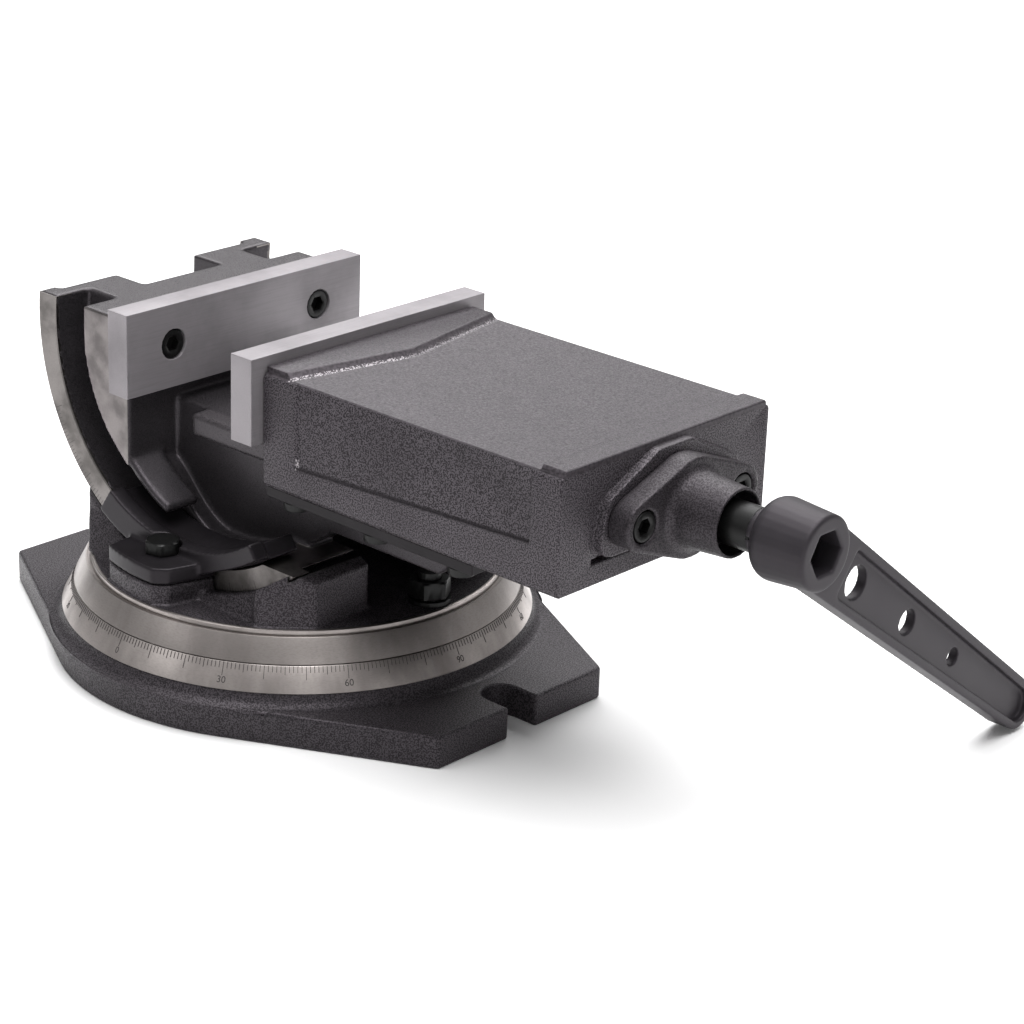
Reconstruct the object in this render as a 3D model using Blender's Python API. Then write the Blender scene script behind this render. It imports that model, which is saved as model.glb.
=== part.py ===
"""Tilting machine vise: a slotted base, a turntable that swivels on it, a bed that tilts in the turntable's
saddle, and a jaw slide driven by a lead screw with a crank handle.

World frame: the origin is the middle of the base's underside on the swivel axis, +Z is up, +X runs along the
bed from the fixed jaw to the handle, and +Y runs along the jaws' width to the far side.
"""
import math

import bmesh
import bpy
from mathutils import Matrix, Vector

MM = 0.001

# Shared clearances
GAP = 0.3 * MM              # between two pieces that touch
RUNNING = 0.3 * MM          # radial play of a shaft or bolt in its hole
OVERRUN = 2.0 * MM          # how far a cutter passes a face
EMBED = 0.5 * MM            # how far a raised form sinks into its own casting before they are joined
FINE_STEPS = 96             # sides of the large round forms
ROUND_STEPS = 32            # sides of shafts and bosses
SMALL_STEPS = 16            # sides of screws and small bores
SIDES = (1.0, -1.0)         # the far or front side, then the near or rear one
FULL_TURN = 360.0           # degrees
HALF_TURN = FULL_TURN / 2
QUARTER_TURN = FULL_TURN / 4
DOWN = HALF_TURN + QUARTER_TURN     # straight down in a side view, towards -Y in plan
HEXAGON_STEP = FULL_TURN / 6
SHADE_ANGLE = 30.0          # edges sharper than this stay sharp

# Jaws
JAW_WIDTH = 110.0 * MM
JAW_THICKNESS = 9.7 * MM
JAW_HEIGHT = 29.7 * MM
JAW_TOP = 125.0 * MM
JAW_GAP = 51.6 * MM         # opening shown in the photograph
FIXED_FACE_SETBACK = 26.6 * MM      # from the tilt axis back to the fixed jaw's face
JAW_SCREW_INSET = 21.0 * MM         # from the ends of a jaw plate
JAW_SCREW_DROP = 14.4 * MM  # below the top of the jaw plate
SEAT_LEDGE = 4.7 * MM       # ledge that a jaw plate stands on
JAW_SCREW_SPREAD = JAW_WIDTH - 2 * JAW_SCREW_INSET
FIXED_FACE_X = -FIXED_FACE_SETBACK
MOVING_FACE_X = FIXED_FACE_X + JAW_GAP
FIXED_BACK_X = FIXED_FACE_X - JAW_THICKNESS
MOVING_BACK_X = MOVING_FACE_X + JAW_THICKNESS
JAW_BOTTOM = JAW_TOP - JAW_HEIGHT
JAW_SCREW_Z = JAW_TOP - JAW_SCREW_DROP

# M6 socket screws: jaw plates and bearing flange
M6_HEAD_RADIUS = 5.0 * MM
M6_HEAD_LENGTH = 6.0 * MM
M6_SHANK_RADIUS = 3.0 * MM
M6_SOCKET_FLATS = 5.0 * MM
M6_SOCKET_DEPTH = 3.0 * MM
M6_GRIP = 12.0 * MM         # shank length in the casting
M6 = (M6_HEAD_RADIUS, M6_HEAD_LENGTH, M6_SHANK_RADIUS, M6_SOCKET_FLATS, M6_SOCKET_DEPTH)
COUNTERBORE_PLAY = 0.5 * MM
HEAD_SINK = 0.5 * MM        # how far a socket head lies below the face
TAP_RESERVE = 1.2 * MM      # hole left past the end of a screw

# Base
BASE_HALF_LENGTH = 108.0 * MM
BASE_MIDDLE_RADIUS = 86.0 * MM
BASE_THICKNESS = 11.5 * MM
LUG_HALF_WIDTH = 40.0 * MM
LUG_CORNER = 2.5 * MM
SLOT_WIDTH = 13.4 * MM
SLOT_DEPTH = 16.4 * MM
RING_FOOT_RADIUS = 83.0 * MM
RING_FOOT_Z = 16.3 * MM
RING_FILLET = 4.8 * MM
SPLIT_RADIUS = 78.8 * MM
SPLIT_Z = 24.4 * MM         # top face of the base ring
TEE_INSET = 14.8 * MM       # from the ring's edge to the circle of the tee slot and its bolts
TEE_MOUTH = 8.8 * MM
TEE_WIDTH = 15.0 * MM
TEE_LIP = 5.0 * MM
TEE_CHANNEL = 6.5 * MM
TEE_ENTRY_RADIUS = 8.2 * MM
SPIGOT_RADIUS = 20.0 * MM
SPIGOT_LENGTH = 14.0 * MM
SPIGOT_FLOOR = 1.0 * MM     # room under the spigot
TEE_RADIUS = SPLIT_RADIUS - TEE_INSET

# Turntable
TABLE_RIM_RADIUS = 74.6 * MM
TABLE_RIM_Z = 32.9 * MM
STEP_RADIUS = 72.6 * MM
STEP_HEIGHT = 1.5 * MM
TABLE_TOP = TABLE_RIM_Z + STEP_HEIGHT
SADDLE_HALF_LENGTH = 55.0 * MM
SADDLE_OUT_Y = 51.0 * MM
SADDLE_IN_Y = 20.0 * MM
SADDLE_TOP = 70.0 * MM      # blank height before the saddle is bored
SADDLE_PLAY = 0.45 * MM
WALL_LEFT_RADIUS = 73.4 * MM        # round of a saddle wall at its left end, seen from its own side
WALL_RIGHT_RADIUS = 70.7 * MM
WALL_FOOT_Y = 56.8 * MM     # the wall's outer face leans in from here
WALL_LEAN_TOP = 48.0 * MM   # to the saddle's outer face at this level
HORN_LIP = 2.0 * MM         # how far the horn's lip stands inside the saddle's bore
HORN_EDGE_X = 40.4 * MM
HORN_EDGE_Y = 58.2 * MM
HORN_FACET_LOW_X = 36.7 * MM
HORN_FACET_TOP_X = 37.8 * MM
HORN_CREST_X = 48.4 * MM
HORN_CREST_Z = 53.6 * MM
HORN_SLOPE = 0.51           # fall of the horn's top towards its end
BOSS_LEFT = 22.5 * MM       # distances from the swivel axis
BOSS_LEFT_ROOT = 24.0 * MM
BOSS_ARC_RIGHT = 3.5 * MM
BOSS_CORNER_X = 8.0 * MM
BOSS_CORNER_Y = 67.5 * MM
BOSS_RIGHT_ROOT = 13.0 * MM
BOSS_TOP = 41.5 * MM

# Tilting body
TILT_Z = 113.0 * MM
BODY_TOP = 121.0 * MM
BODY_HALF_WIDTH = 50.5 * MM
RAIL_RADIUS = 78.5 * MM     # machined land that turns in the saddle
RAIL_CAST_RADIUS = 76.0 * MM
RAIL_LAND = 7.5 * MM
RIM_INNER_RADIUS = 69.5 * MM
NECK_HALF_WIDTH = 36.0 * MM
NECK_STEP_DEPTH = 3.5 * MM  # the neck's low part inside the rim's inner round
RAIL_IN_Y = 18.0 * MM
CHEEK_RADIUS = 55.0 * MM
CORE_RADIUS = 61.0 * MM
WEB_RADIUS = 68.5 * MM
WEB_HALF_WIDTH = 28.5 * MM
LIP_THICKNESS = 3.0 * MM
LIP_FLARE = 3.5 * MM        # how much wider the lip's free end lies
RIM_END_Z = 53.0 * MM       # level cut at the front end of the rails
BED_UNDERSIDE = 61.0 * MM
BED_TOP = 89.0 * MM
BED_END_X = 100.0 * MM
BED_END_ROUND = 8.0 * MM
FLANGE_HALF_WIDTH = 36.0 * MM
FLANGE_UNDERSIDE = 81.0 * MM
FLANGE_BACK = 16.0 * MM     # from the tilt axis back to the flange's start
LIP_START_ANGLE = 231.0     # degrees about the tilt axis, 270 is straight down
LIP_END_ANGLE = 257.0
NECK_STEP_ANGLES = (236.0, 270.0)
NECK_LOW_RADIUS = RIM_INNER_RADIUS - NECK_STEP_DEPTH
BLOCK_FRONT_X = FIXED_BACK_X + SEAT_LEDGE
WEB_START_ANGLE = 235.0

# Slide
SLIDE_HALF_WIDTH = 50.0 * MM
SLIDE_TOP = 119.7 * MM
SLIDE_BOTTOM = 80.6 * MM
SLIDE_FRONT_X = 164.0 * MM
SLIDE_ROUND = 1.6 * MM
RIDGE_TOP = 121.8 * MM
RIDGE_END_LENGTH = 11.5 * MM
RIDGE_MIDDLE_LENGTH = 20.5 * MM
RIDGE_SLOPE = 2.0 * MM
LIP_TOP = 121.4 * MM
LIP_LENGTH = 9.6 * MM
PANEL_SINK = 0.9 * MM
PANEL_START = 15.2 * MM     # from the slide's back face
PANEL_END = 12.0 * MM       # from the slide's front face
PANEL_BACK_Z = 91.0 * MM
PANEL_FRONT_Z = 96.0 * MM
BACK_WALL = 13.0 * MM
FRONT_WALL = 10.0 * MM
TOP_WALL = 6.7 * MM
CAVITY_HALF_WIDTH = 26.5 * MM
PAD_RAISE = 3.0 * MM
PAD_HALF_WIDTH = 35.5 * MM
PAD_SHOULDER = 31.5 * MM
PAD_BOTTOM = 89.5 * MM
PAD_SHOULDER_Z = 108.0 * MM
PAD_TOP = 119.5 * MM
PAD_TOP_HALF = 8.0 * MM
PAD_ROUND = 6.0 * MM
FRONT_SLOT_HEIGHT = 1.8 * MM
FRONT_SLOT_DEPTH = 4.0 * MM
FRONT_SLOT_HALF = 34.5 * MM
SLIDE_BACK_X = MOVING_BACK_X + GAP

# Keeper strips under the slide
KEEPER_THICKNESS = 3.7 * MM
KEEPER_LENGTH = 92.5 * MM
KEEPER_INSET = 2.0 * MM
KEEPER_SCREW_INSET = 9.0 * MM
KEEPER_SCREW_OUT = 5.0 * MM     # screw line from the keeper's outer edge
KEEPER_SCREWS = 3
M5_HEAD_RADIUS = 4.5 * MM
M5_HEAD_LENGTH = 2.8 * MM
M5_SHANK_RADIUS = 2.5 * MM
M5_SOCKET_FLATS = 3.0 * MM
M5_SOCKET_DEPTH = 1.5 * MM
M5_GRIP = 9.0 * MM
M5 = (M5_HEAD_RADIUS, M5_HEAD_LENGTH, M5_SHANK_RADIUS, M5_SOCKET_FLATS, M5_SOCKET_DEPTH)

# Lead screw, its nut and its thrust bearing
SCREW_Z = 100.5 * MM
SCREW_RADIUS = 8.0 * MM
SCREW_START_X = 50.5 * MM
SCREW_CHAMFER = 1.5 * MM
COLLAR_RADIUS = 12.5 * MM
COLLAR_LENGTH = 2.8 * MM
WASHER_THICKNESS = 1.4 * MM
RECESS_PLAY = 0.5 * MM
JOURNAL_RADIUS = 7.3 * MM   # in front of the collar
HEX_FLATS = 12.6 * MM
HEX_LENGTH = 18.0 * MM
NUT_LENGTH = 19.0 * MM
NUT_RADIUS = 11.6 * MM
NUT_FOOT_HALF = 23.0 * MM
NUT_FOOT_HEIGHT = 6.5 * MM
NUT_SCREW_SPREAD = 35.0 * MM

# Bearing flange on the slide's front
CAP_THICKNESS = 8.1 * MM
CAP_CENTRE_RADIUS = 16.5 * MM
CAP_END_RADIUS = 8.2 * MM
CAP_SCREW_SPREAD = 47.0 * MM
CAP_BOSS_RADIUS = 12.3 * MM
CAP_RIM_RADIUS = 11.3 * MM
CAP_BOSS_LENGTH = 17.2 * MM
CAP_MOUTH_RADIUS = 10.3 * MM
CAP_MOUTH_DEPTH = 9.0 * MM
CAP_FILLET = 3.2 * MM

# Crank handle
HANDLE_BACK_X = 204.0 * MM
HEAD_LENGTH = 21.8 * MM
HEAD_BACK_RADIUS = 13.4 * MM
HEAD_FRONT_RADIUS = 12.2 * MM
HEAD_ROUND = 0.8 * MM
HEAD_BACK_ROUND = 5.2 * MM
HUB_RADIUS = 7.9 * MM
HUB_LENGTH = 3.0 * MM       # behind the head
HEX_PLAY = 0.6 * MM
ARM_LENGTH = 153.0 * MM     # from the screw axis to the centre of the tip
ARM_ROOT_HALF = 11.4 * MM
ARM_TIP_RADIUS = 8.5 * MM
ARM_THICKNESS = 9.4 * MM
ARM_FRONT_SETBACK = 2.4 * MM
ARM_RIB = 3.0 * MM
ARM_RECESS = 2.9 * MM
RECESS_START = 19.0 * MM
FLOOR_CLEARANCE = 1.2 * MM  # under the tip of the handle
HANDLE_HOLE_RADII = (5.5 * MM, 4.3 * MM, 3.1 * MM)
HANDLE_HOLE_SHARES = (0.195, 0.44, 0.67)   # of the arm's length

# Tilt clamps
CLAMP_BAND = 7.2 * MM           # how far the plate stands inside the rim's inner round
CLAMP_OVERLAP = 3.0 * MM        # and outside it at its left end
CLAMP_RIGHT_INSET = 1.2 * MM    # its right end lies inside the rim's inner round
CLAMP_PLATE = 6.1 * MM
CLAMP_LEFT_ANGLE = 33.5         # degrees from straight down
CLAMP_RIGHT_ANGLE = 35.0
CLAMP_SWEEP_ANGLE = 26.0        # where the sweep from the foot has run out
CLAMP_SWEEP_POWER = 2.5
TONGUE_PLAY = 0.4 * MM
TONGUE_REACH = 13.8 * MM
TONGUE_STEP = 0.8 * MM          # the tongue's inner round outside the plate's
TONGUE_SETBACK = 1.0            # degrees between the plate's ends and the tongue's
PAD_THICKNESS = 5.7 * MM
PAD_RADIUS = 71.4 * MM          # from the swivel axis
CLAMP_BOLT_LEFT = 5.5 * MM      # from the middle plane across the bed
CLAMP_BOLT_OUT = 58.3 * MM      # from the middle plane along the bed
BOLT_RADIUS = 3.0 * MM
BOLT_FLATS = 11.0 * MM
BOLT_HEAD = 4.2 * MM
BOLT_TURN = 12.0                # degrees that the head came to rest at
BOLT_GRIP = 12.0 * MM           # length in the turntable
CLAMP_IN_RADIUS = RIM_INNER_RADIUS - CLAMP_BAND
CLAMP_OUT_RADIUS = RIM_INNER_RADIUS + CLAMP_OVERLAP
CLAMP_RIGHT_RADIUS = RIM_INNER_RADIUS - CLAMP_RIGHT_INSET
CLAMP_BOLT_PLACE = (-CLAMP_BOLT_LEFT, -CLAMP_BOLT_OUT)

# Swivel tee bolts
TEE_BOLT_RADIUS = 4.0 * MM
TEE_HEAD_SIDE = 13.0 * MM
TEE_HEAD_HEIGHT = 5.0 * MM
TEE_WASHER_RADIUS = 7.6 * MM
TEE_WASHER_THICKNESS = 1.5 * MM
TEE_NUT_FLATS = 13.0 * MM
TEE_NUT_HEIGHT = 6.5 * MM
TEE_STUD_PROUD = 2.5 * MM

# Finishes: base colour, roughness, metallic
FINISHES = {
    "painted_casting": ((0.052, 0.050, 0.051), 0.55, 0.25),
    "machined_casting": ((0.50, 0.49, 0.47), 0.38, 1.0),
    "ground_steel": ((0.72, 0.72, 0.72), 0.30, 1.0),
    "black_oxide": ((0.025, 0.024, 0.025), 0.32, 0.8),
    "smooth_paint": ((0.045, 0.044, 0.046), 0.45, 0.1),
    "handle_paint": ((0.082, 0.078, 0.080), 0.52, 0.1),
    "bronze": ((0.50, 0.34, 0.16), 0.40, 1.0),
}


def polar(radius, degrees, centre=(0.0, 0.0)):
    """Point at an angle on a circle."""
    turn = math.radians(degrees)
    return (centre[0] + radius * math.cos(turn), centre[1] + radius * math.sin(turn))


def arc(radius, start, end, steps, centre=(0.0, 0.0)):
    """Points on a circle from the start angle to the end angle, both included."""
    return [polar(radius, start + (end - start) * i / steps, centre) for i in range(steps + 1)]


def circle(radius, steps, centre=(0.0, 0.0)):
    """Points of a whole circle."""
    return arc(radius, 0.0, FULL_TURN, steps, centre)[:-1]


def hexagon(flats, turn=0.0, centre=(0.0, 0.0)):
    """Corners of a hexagon given across its flats."""
    return [polar(flats / math.sqrt(3.0), turn + HEXAGON_STEP * i, centre) for i in range(6)]


def rectangle(low, high):
    """Corners of a rectangle between two opposite corners."""
    return [(low[0], low[1]), (high[0], low[1]), (high[0], high[1]), (low[0], high[1])]


def rounded(outline, radius, steps=4):
    """The outline with each convex or concave corner replaced by an arc of the radius."""
    points = []
    count = len(outline)
    for i in range(count):
        corner = Vector(outline[i])
        before = (Vector(outline[i - 1]) - corner).normalized()
        after = (Vector(outline[(i + 1) % count]) - corner).normalized()
        half = before.angle(after) / 2.0
        reach = radius / math.tan(half)
        middle = corner + (before + after).normalized() * (radius / math.sin(half))
        first = corner + before * reach - middle
        last = corner + after * reach - middle
        sweep = first.angle_signed(last)
        for k in range(steps + 1):
            spot = middle + Matrix.Rotation(-sweep * k / steps, 2) @ first
            points.append((spot.x, spot.y))
    return points


def smooth_step(value, low, high):
    """0 below low, 1 above high, and a smooth rise between."""
    share = min(max((value - low) / (high - low), 0.0), 1.0)
    return share * share * (3.0 - 2.0 * share)


def in_space(axis, u, v, level):
    """A point of an outline in space: (y, z) across X, (x, z) across Y and (x, y) across Z."""
    if axis == "X":
        return (level, u, v)
    if axis == "Y":
        return (u, level, v)
    return (u, v, level)


def finish_mesh(sheet, name):
    """Turn a bmesh into a mesh whose faces all point out, and free the bmesh."""
    bmesh.ops.recalc_face_normals(sheet, faces=sheet.faces)
    mesh = bpy.data.meshes.new(name)
    sheet.to_mesh(mesh)
    sheet.free()
    return mesh


def loft(name, axis, sections):
    """Solid through a list of (level, outline) sections that have equal numbers of points."""
    sheet = bmesh.new()
    rings = [[sheet.verts.new(in_space(axis, u, v, level)) for u, v in outline] for level, outline in sections]
    for lower, upper in zip(rings, rings[1:]):
        for i in range(len(lower)):
            j = (i + 1) % len(lower)
            sheet.faces.new((lower[i], lower[j], upper[j], upper[i]))
    sheet.faces.new(rings[0])
    sheet.faces.new(rings[-1])
    return finish_mesh(sheet, name)


def prism(name, axis, outline, low, high):
    """Solid of one outline between two levels."""
    return loft(name, axis, [(low, outline), (high, outline)])


def turned(name, axis, profile, steps, centre=(0.0, 0.0)):
    """Solid of revolution about an axis through the centre, from a profile of (radius, level) points."""
    sheet = bmesh.new()
    rings = []
    for radius, level in profile:
        if radius == 0.0:
            rings.append([sheet.verts.new(in_space(axis, centre[0], centre[1], level))])
        else:
            ring = [in_space(axis, u, v, level) for u, v in circle(radius, steps, centre)]
            rings.append([sheet.verts.new(spot) for spot in ring])
    closed = profile[0][0] > 0.0
    pairs = list(zip(rings, rings[1:])) + ([(rings[-1], rings[0])] if closed else [])
    for lower, upper in pairs:
        for i in range(steps):
            j = (i + 1) % steps
            corners = [lower[i % len(lower)], lower[j % len(lower)], upper[j % len(upper)], upper[i % len(upper)]]
            corners = list(dict.fromkeys(corners))
            if len(corners) > 2:
                sheet.faces.new(corners)
    return finish_mesh(sheet, name)


def triangulated(mesh):
    """The mesh with every face split into flat triangles."""
    sheet = bmesh.new()
    sheet.from_mesh(mesh)
    bmesh.ops.triangulate(sheet, faces=sheet.faces)
    sheet.to_mesh(mesh)
    sheet.free()
    return mesh


def body(mesh):
    """A scene object that holds the mesh."""
    thing = bpy.data.objects.new(mesh.name, mesh)
    bpy.context.scene.collection.objects.link(thing)
    return thing


def combine(thing, meshes, operation):
    """Join the meshes to the object, or cut them out of it, one by one; triangles keep every face flat."""
    for mesh in meshes:
        tool = body(mesh)
        change = thing.modifiers.new(operation.title(), "BOOLEAN")
        change.operation = operation
        change.solver = "EXACT"
        change.object = tool
        view = bpy.context.evaluated_depsgraph_get()
        result = bpy.data.meshes.new_from_object(thing.evaluated_get(view))
        result.name = thing.name
        thing.modifiers.clear()
        thing.data = triangulated(result)
        bpy.data.objects.remove(tool)
    return thing


def join(thing, *meshes):
    """Add meshes to the object as one solid."""
    return combine(thing, meshes, "UNION")


def cut(thing, *meshes):
    """Take meshes out of the object."""
    return combine(thing, meshes, "DIFFERENCE")


def material(name):
    """Principled material of one named finish."""
    found = bpy.data.materials.get(name)
    if found:
        return found
    colour, roughness, metallic = FINISHES[name]
    made = bpy.data.materials.new(name)
    made.use_nodes = True
    shader = made.node_tree.nodes["Principled BSDF"]
    shader.inputs["Base Color"].default_value = (*colour, 1.0)
    shader.inputs["Roughness"].default_value = roughness
    shader.inputs["Metallic"].default_value = metallic
    return made


def axis_empty(name, place, parent=None):
    """Empty on a joint's axis, which carries what moves with it."""
    empty = bpy.data.objects.new(name, None)
    empty.location = place if parent is None else Vector(place) - parent["place"]
    bpy.context.scene.collection.objects.link(empty)
    empty.parent = parent["empty"] if parent else None
    return {"empty": empty, "place": Vector(place)}


def carry(thing, axis, finish):
    """Give the piece its material and hang it on a joint's empty, with its origin on that joint."""
    thing.data.materials.clear()
    thing.data.materials.append(material(finish))
    if axis:
        thing.data.transform(Matrix.Translation(-axis["place"]))
        thing.parent = axis["empty"]
    thing.data.shade_smooth()
    thing.data.set_sharp_from_angle(angle=math.radians(SHADE_ANGLE))
    return thing


def flipped(mesh):
    """The mesh turned half round about the swivel axis, for a piece on the far side."""
    mesh.transform(Matrix.Rotation(math.pi, 4, "Z"))
    return mesh


def base():
    """Base casting: lugs with open slots, the graduated cone, a round tee slot and the spigot bore."""
    reach = math.hypot(BASE_HALF_LENGTH, LUG_HALF_WIDTH)
    lug_angle = math.degrees(math.atan2(LUG_HALF_WIDTH, BASE_HALF_LENGTH))
    tangent = lug_angle + math.degrees(math.acos(BASE_MIDDLE_RADIUS / reach))
    quarter = arc(BASE_MIDDLE_RADIUS, tangent, QUARTER_TURN, 12)
    corner = rounded([(BASE_HALF_LENGTH, 0.0), (BASE_HALF_LENGTH, LUG_HALF_WIDTH), quarter[0]], LUG_CORNER)
    right = corner[5:10] + quarter[:-1]
    top_half = right + [(0.0, BASE_MIDDLE_RADIUS)] + [(-x, y) for x, y in reversed(right)]
    outline = top_half + [(x, -y) for x, y in reversed(top_half)]
    plate = body(prism("base", "Z", outline, 0.0, BASE_THICKNESS))

    foot = RING_FOOT_RADIUS + RING_FILLET
    fillet = arc(RING_FILLET, DOWN, HALF_TURN, 5, (foot, BASE_THICKNESS + RING_FILLET))
    floor = BASE_THICKNESS - EMBED
    mouth_z = SPLIT_Z - TEE_LIP
    channel_z = mouth_z - TEE_CHANNEL
    cone = [(0.0, floor), (foot, floor)] + fillet[:-1]
    cone += [(RING_FOOT_RADIUS, RING_FOOT_Z), (SPLIT_RADIUS, SPLIT_Z),
             (TEE_RADIUS + TEE_MOUTH / 2, SPLIT_Z), (TEE_RADIUS + TEE_MOUTH / 2, mouth_z),
             (TEE_RADIUS + TEE_WIDTH / 2, mouth_z), (TEE_RADIUS + TEE_WIDTH / 2, channel_z),
             (TEE_RADIUS - TEE_WIDTH / 2, channel_z), (TEE_RADIUS - TEE_WIDTH / 2, mouth_z),
             (TEE_RADIUS - TEE_MOUTH / 2, mouth_z), (TEE_RADIUS - TEE_MOUTH / 2, SPLIT_Z), (0.0, SPLIT_Z)]
    join(plate, turned("cone", "Z", cone, FINE_STEPS))
    entry = circle(TEE_ENTRY_RADIUS, SMALL_STEPS, (0.0, TEE_RADIUS))
    bore = circle(SPIGOT_RADIUS, ROUND_STEPS)
    bore_floor = SPLIT_Z - SPIGOT_LENGTH - SPIGOT_FLOOR
    cut(plate, prism("entry", "Z", entry, channel_z + GAP, SPLIT_Z + OVERRUN),
        prism("bore", "Z", bore, bore_floor, SPLIT_Z + OVERRUN))

    slot_radius = SLOT_WIDTH / 2
    inner = BASE_HALF_LENGTH - SLOT_DEPTH + slot_radius
    slot = arc(slot_radius, QUARTER_TURN, DOWN, 10, (inner, 0.0))
    slot += [(BASE_HALF_LENGTH + OVERRUN, -slot_radius), (BASE_HALF_LENGTH + OVERRUN, slot_radius)]
    for side in SIDES:
        shape = [(side * x, y) for x, y in slot]
        cut(plate, prism("slot", "Z", shape, -OVERRUN, BASE_THICKNESS + OVERRUN))
    return carry(plate, None, "painted_casting")


def wall_outline():
    """Plan of one saddle wall: straight inside and at its ends, round outside."""
    left_end = HALF_TURN + math.degrees(math.acos(SADDLE_HALF_LENGTH / WALL_LEFT_RADIUS))
    right_end = FULL_TURN - math.degrees(math.acos(SADDLE_HALF_LENGTH / WALL_RIGHT_RADIUS))
    outside = arc(WALL_LEFT_RADIUS, left_end, DOWN, 12) + arc(WALL_RIGHT_RADIUS, DOWN, right_end, 12)
    return [(SADDLE_HALF_LENGTH, -SADDLE_IN_Y), (-SADDLE_HALF_LENGTH, -SADDLE_IN_Y)] + outside


def pocket_outline(wall_y, facet_x):
    """Plan of the space in front of a saddle wall, from its left end to the facet of its right horn."""
    far = WALL_LEFT_RADIUS + OVERRUN
    return [(-far, -wall_y), (facet_x, -wall_y), (HORN_EDGE_X, -HORN_EDGE_Y), (HORN_EDGE_X, -far), (-far, -far)]


def boss_outline(root):
    """Plan of the boss under a tilt clamp, from its root out to the round of the turntable."""
    left = HALF_TURN + math.degrees(math.acos(BOSS_LEFT / PAD_RADIUS))
    right = DOWN + math.degrees(math.asin(BOSS_ARC_RIGHT / PAD_RADIUS))
    edge = arc(PAD_RADIUS, left, right, 10) + [(BOSS_CORNER_X, -BOSS_CORNER_Y)]
    return [(-BOSS_LEFT_ROOT, -root)] + edge + [(BOSS_RIGHT_ROOT, -root)]


def saddle_wall():
    """One saddle wall before it is bored: a leaning face, the horn at its right end and the clamp's boss."""
    low = TABLE_RIM_Z - EMBED
    wall = body(prism("wall", "Z", wall_outline(), low, SADDLE_TOP))
    far = WALL_LEFT_RADIUS + OVERRUN
    lip = circle(RAIL_RADIUS + SADDLE_PLAY - HORN_LIP, FINE_STEPS * 2, (0.0, TILT_Z))
    end = SADDLE_HALF_LENGTH + OVERRUN
    fall = HORN_SLOPE * (end - HORN_CREST_X)
    above = [(HORN_CREST_X, HORN_CREST_Z), (end, HORN_CREST_Z - fall), (end, SADDLE_TOP + OVERRUN),
             (HORN_CREST_X, SADDLE_TOP + OVERRUN)]
    foot = pocket_outline(WALL_FOOT_Y, HORN_FACET_LOW_X)
    top = pocket_outline(SADDLE_OUT_Y, HORN_FACET_TOP_X)
    levels = [(low - OVERRUN, foot), (TABLE_TOP, foot), (WALL_LEAN_TOP, top), (SADDLE_TOP + OVERRUN, top)]
    cut(wall, prism("lip", "Y", lip, -far, 0.0), prism("above", "Y", above, -far, 0.0),
        triangulated(loft("pocket", "Z", levels)))
    join(wall, prism("boss", "Z", boss_outline(SADDLE_OUT_Y - OVERRUN), low + EMBED / 2, BOSS_TOP))
    return wall


def turntable(swivel):
    """Turntable casting: cone band, step ring, spigot, two saddle walls with horns, and the clamp bosses."""
    underside = SPLIT_Z + GAP
    spigot = SPIGOT_RADIUS - RUNNING
    profile = [(0.0, SPLIT_Z - SPIGOT_LENGTH), (spigot, SPLIT_Z - SPIGOT_LENGTH), (spigot, underside),
               (SPLIT_RADIUS, underside), (TABLE_RIM_RADIUS, TABLE_RIM_Z), (STEP_RADIUS, TABLE_RIM_Z),
               (STEP_RADIUS, TABLE_TOP), (0.0, TABLE_TOP)]
    disc = body(turned("turntable", "Z", profile, FINE_STEPS))
    for turn in (False, True):
        wall = saddle_wall()
        join(disc, flipped(wall.data) if turn else wall.data)
        bpy.data.objects.remove(wall)
    saddle = circle(RAIL_RADIUS + SADDLE_PLAY, FINE_STEPS * 2, (0.0, TILT_Z))
    cut(disc, prism("saddle", "Y", saddle, -SADDLE_OUT_Y, SADDLE_OUT_Y))
    for turn in (False, True):
        tap = circle(BOLT_RADIUS + RUNNING, SMALL_STEPS, CLAMP_BOLT_PLACE)
        tap = prism("tap", "Z", tap, BOSS_TOP - BOLT_GRIP - TAP_RESERVE, BOSS_TOP + OVERRUN)
        cut(disc, flipped(tap) if turn else tap)
    for side in SIDES:
        hole = circle(TEE_BOLT_RADIUS + RUNNING, SMALL_STEPS, (side * TEE_RADIUS, 0.0))
        cut(disc, prism("bolt_hole", "Z", hole, SPLIT_Z, TABLE_TOP + OVERRUN))
    return carry(disc, swivel, "painted_casting")


def level_angles(radius, level_left, level_right):
    """Angles about the tilt axis where a circle crosses a level on the left and one on the right."""
    left = HALF_TURN - math.degrees(math.asin((level_left - TILT_Z) / radius))
    right = FULL_TURN + math.degrees(math.asin((level_right - TILT_Z) / radius))
    return left, right


def band(inner, outer, steps):
    """Side view of a rail: an arc band from the body's top round to the level cut at the front."""
    centre = (0.0, TILT_Z)
    outside = arc(outer, *level_angles(outer, BODY_TOP, RIM_END_Z), steps, centre)
    inside = arc(inner, *level_angles(inner, BODY_TOP, RIM_END_Z), steps, centre)
    return outside + inside[::-1]


def neck_outline(steps):
    """Side view of the rail's neck, whose inner edge steps out in front of the jaw block."""
    centre = (0.0, TILT_Z)
    outer = RIM_INNER_RADIUS + EMBED
    outside = arc(outer, *level_angles(outer, BODY_TOP, RIM_END_Z), steps, centre)
    inner = CHEEK_RADIUS - EMBED
    start = level_angles(inner, BODY_TOP, BODY_TOP)[0]
    end = level_angles(NECK_LOW_RADIUS, BODY_TOP, RIM_END_Z)[1]
    inside = []
    for i in range(steps + 1):
        angle = start + (end - start) * i / steps
        share = smooth_step(angle, *NECK_STEP_ANGLES)
        inside.append(polar(inner + (NECK_LOW_RADIUS - inner) * share, angle, centre))
    return outside + inside[::-1]


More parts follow.
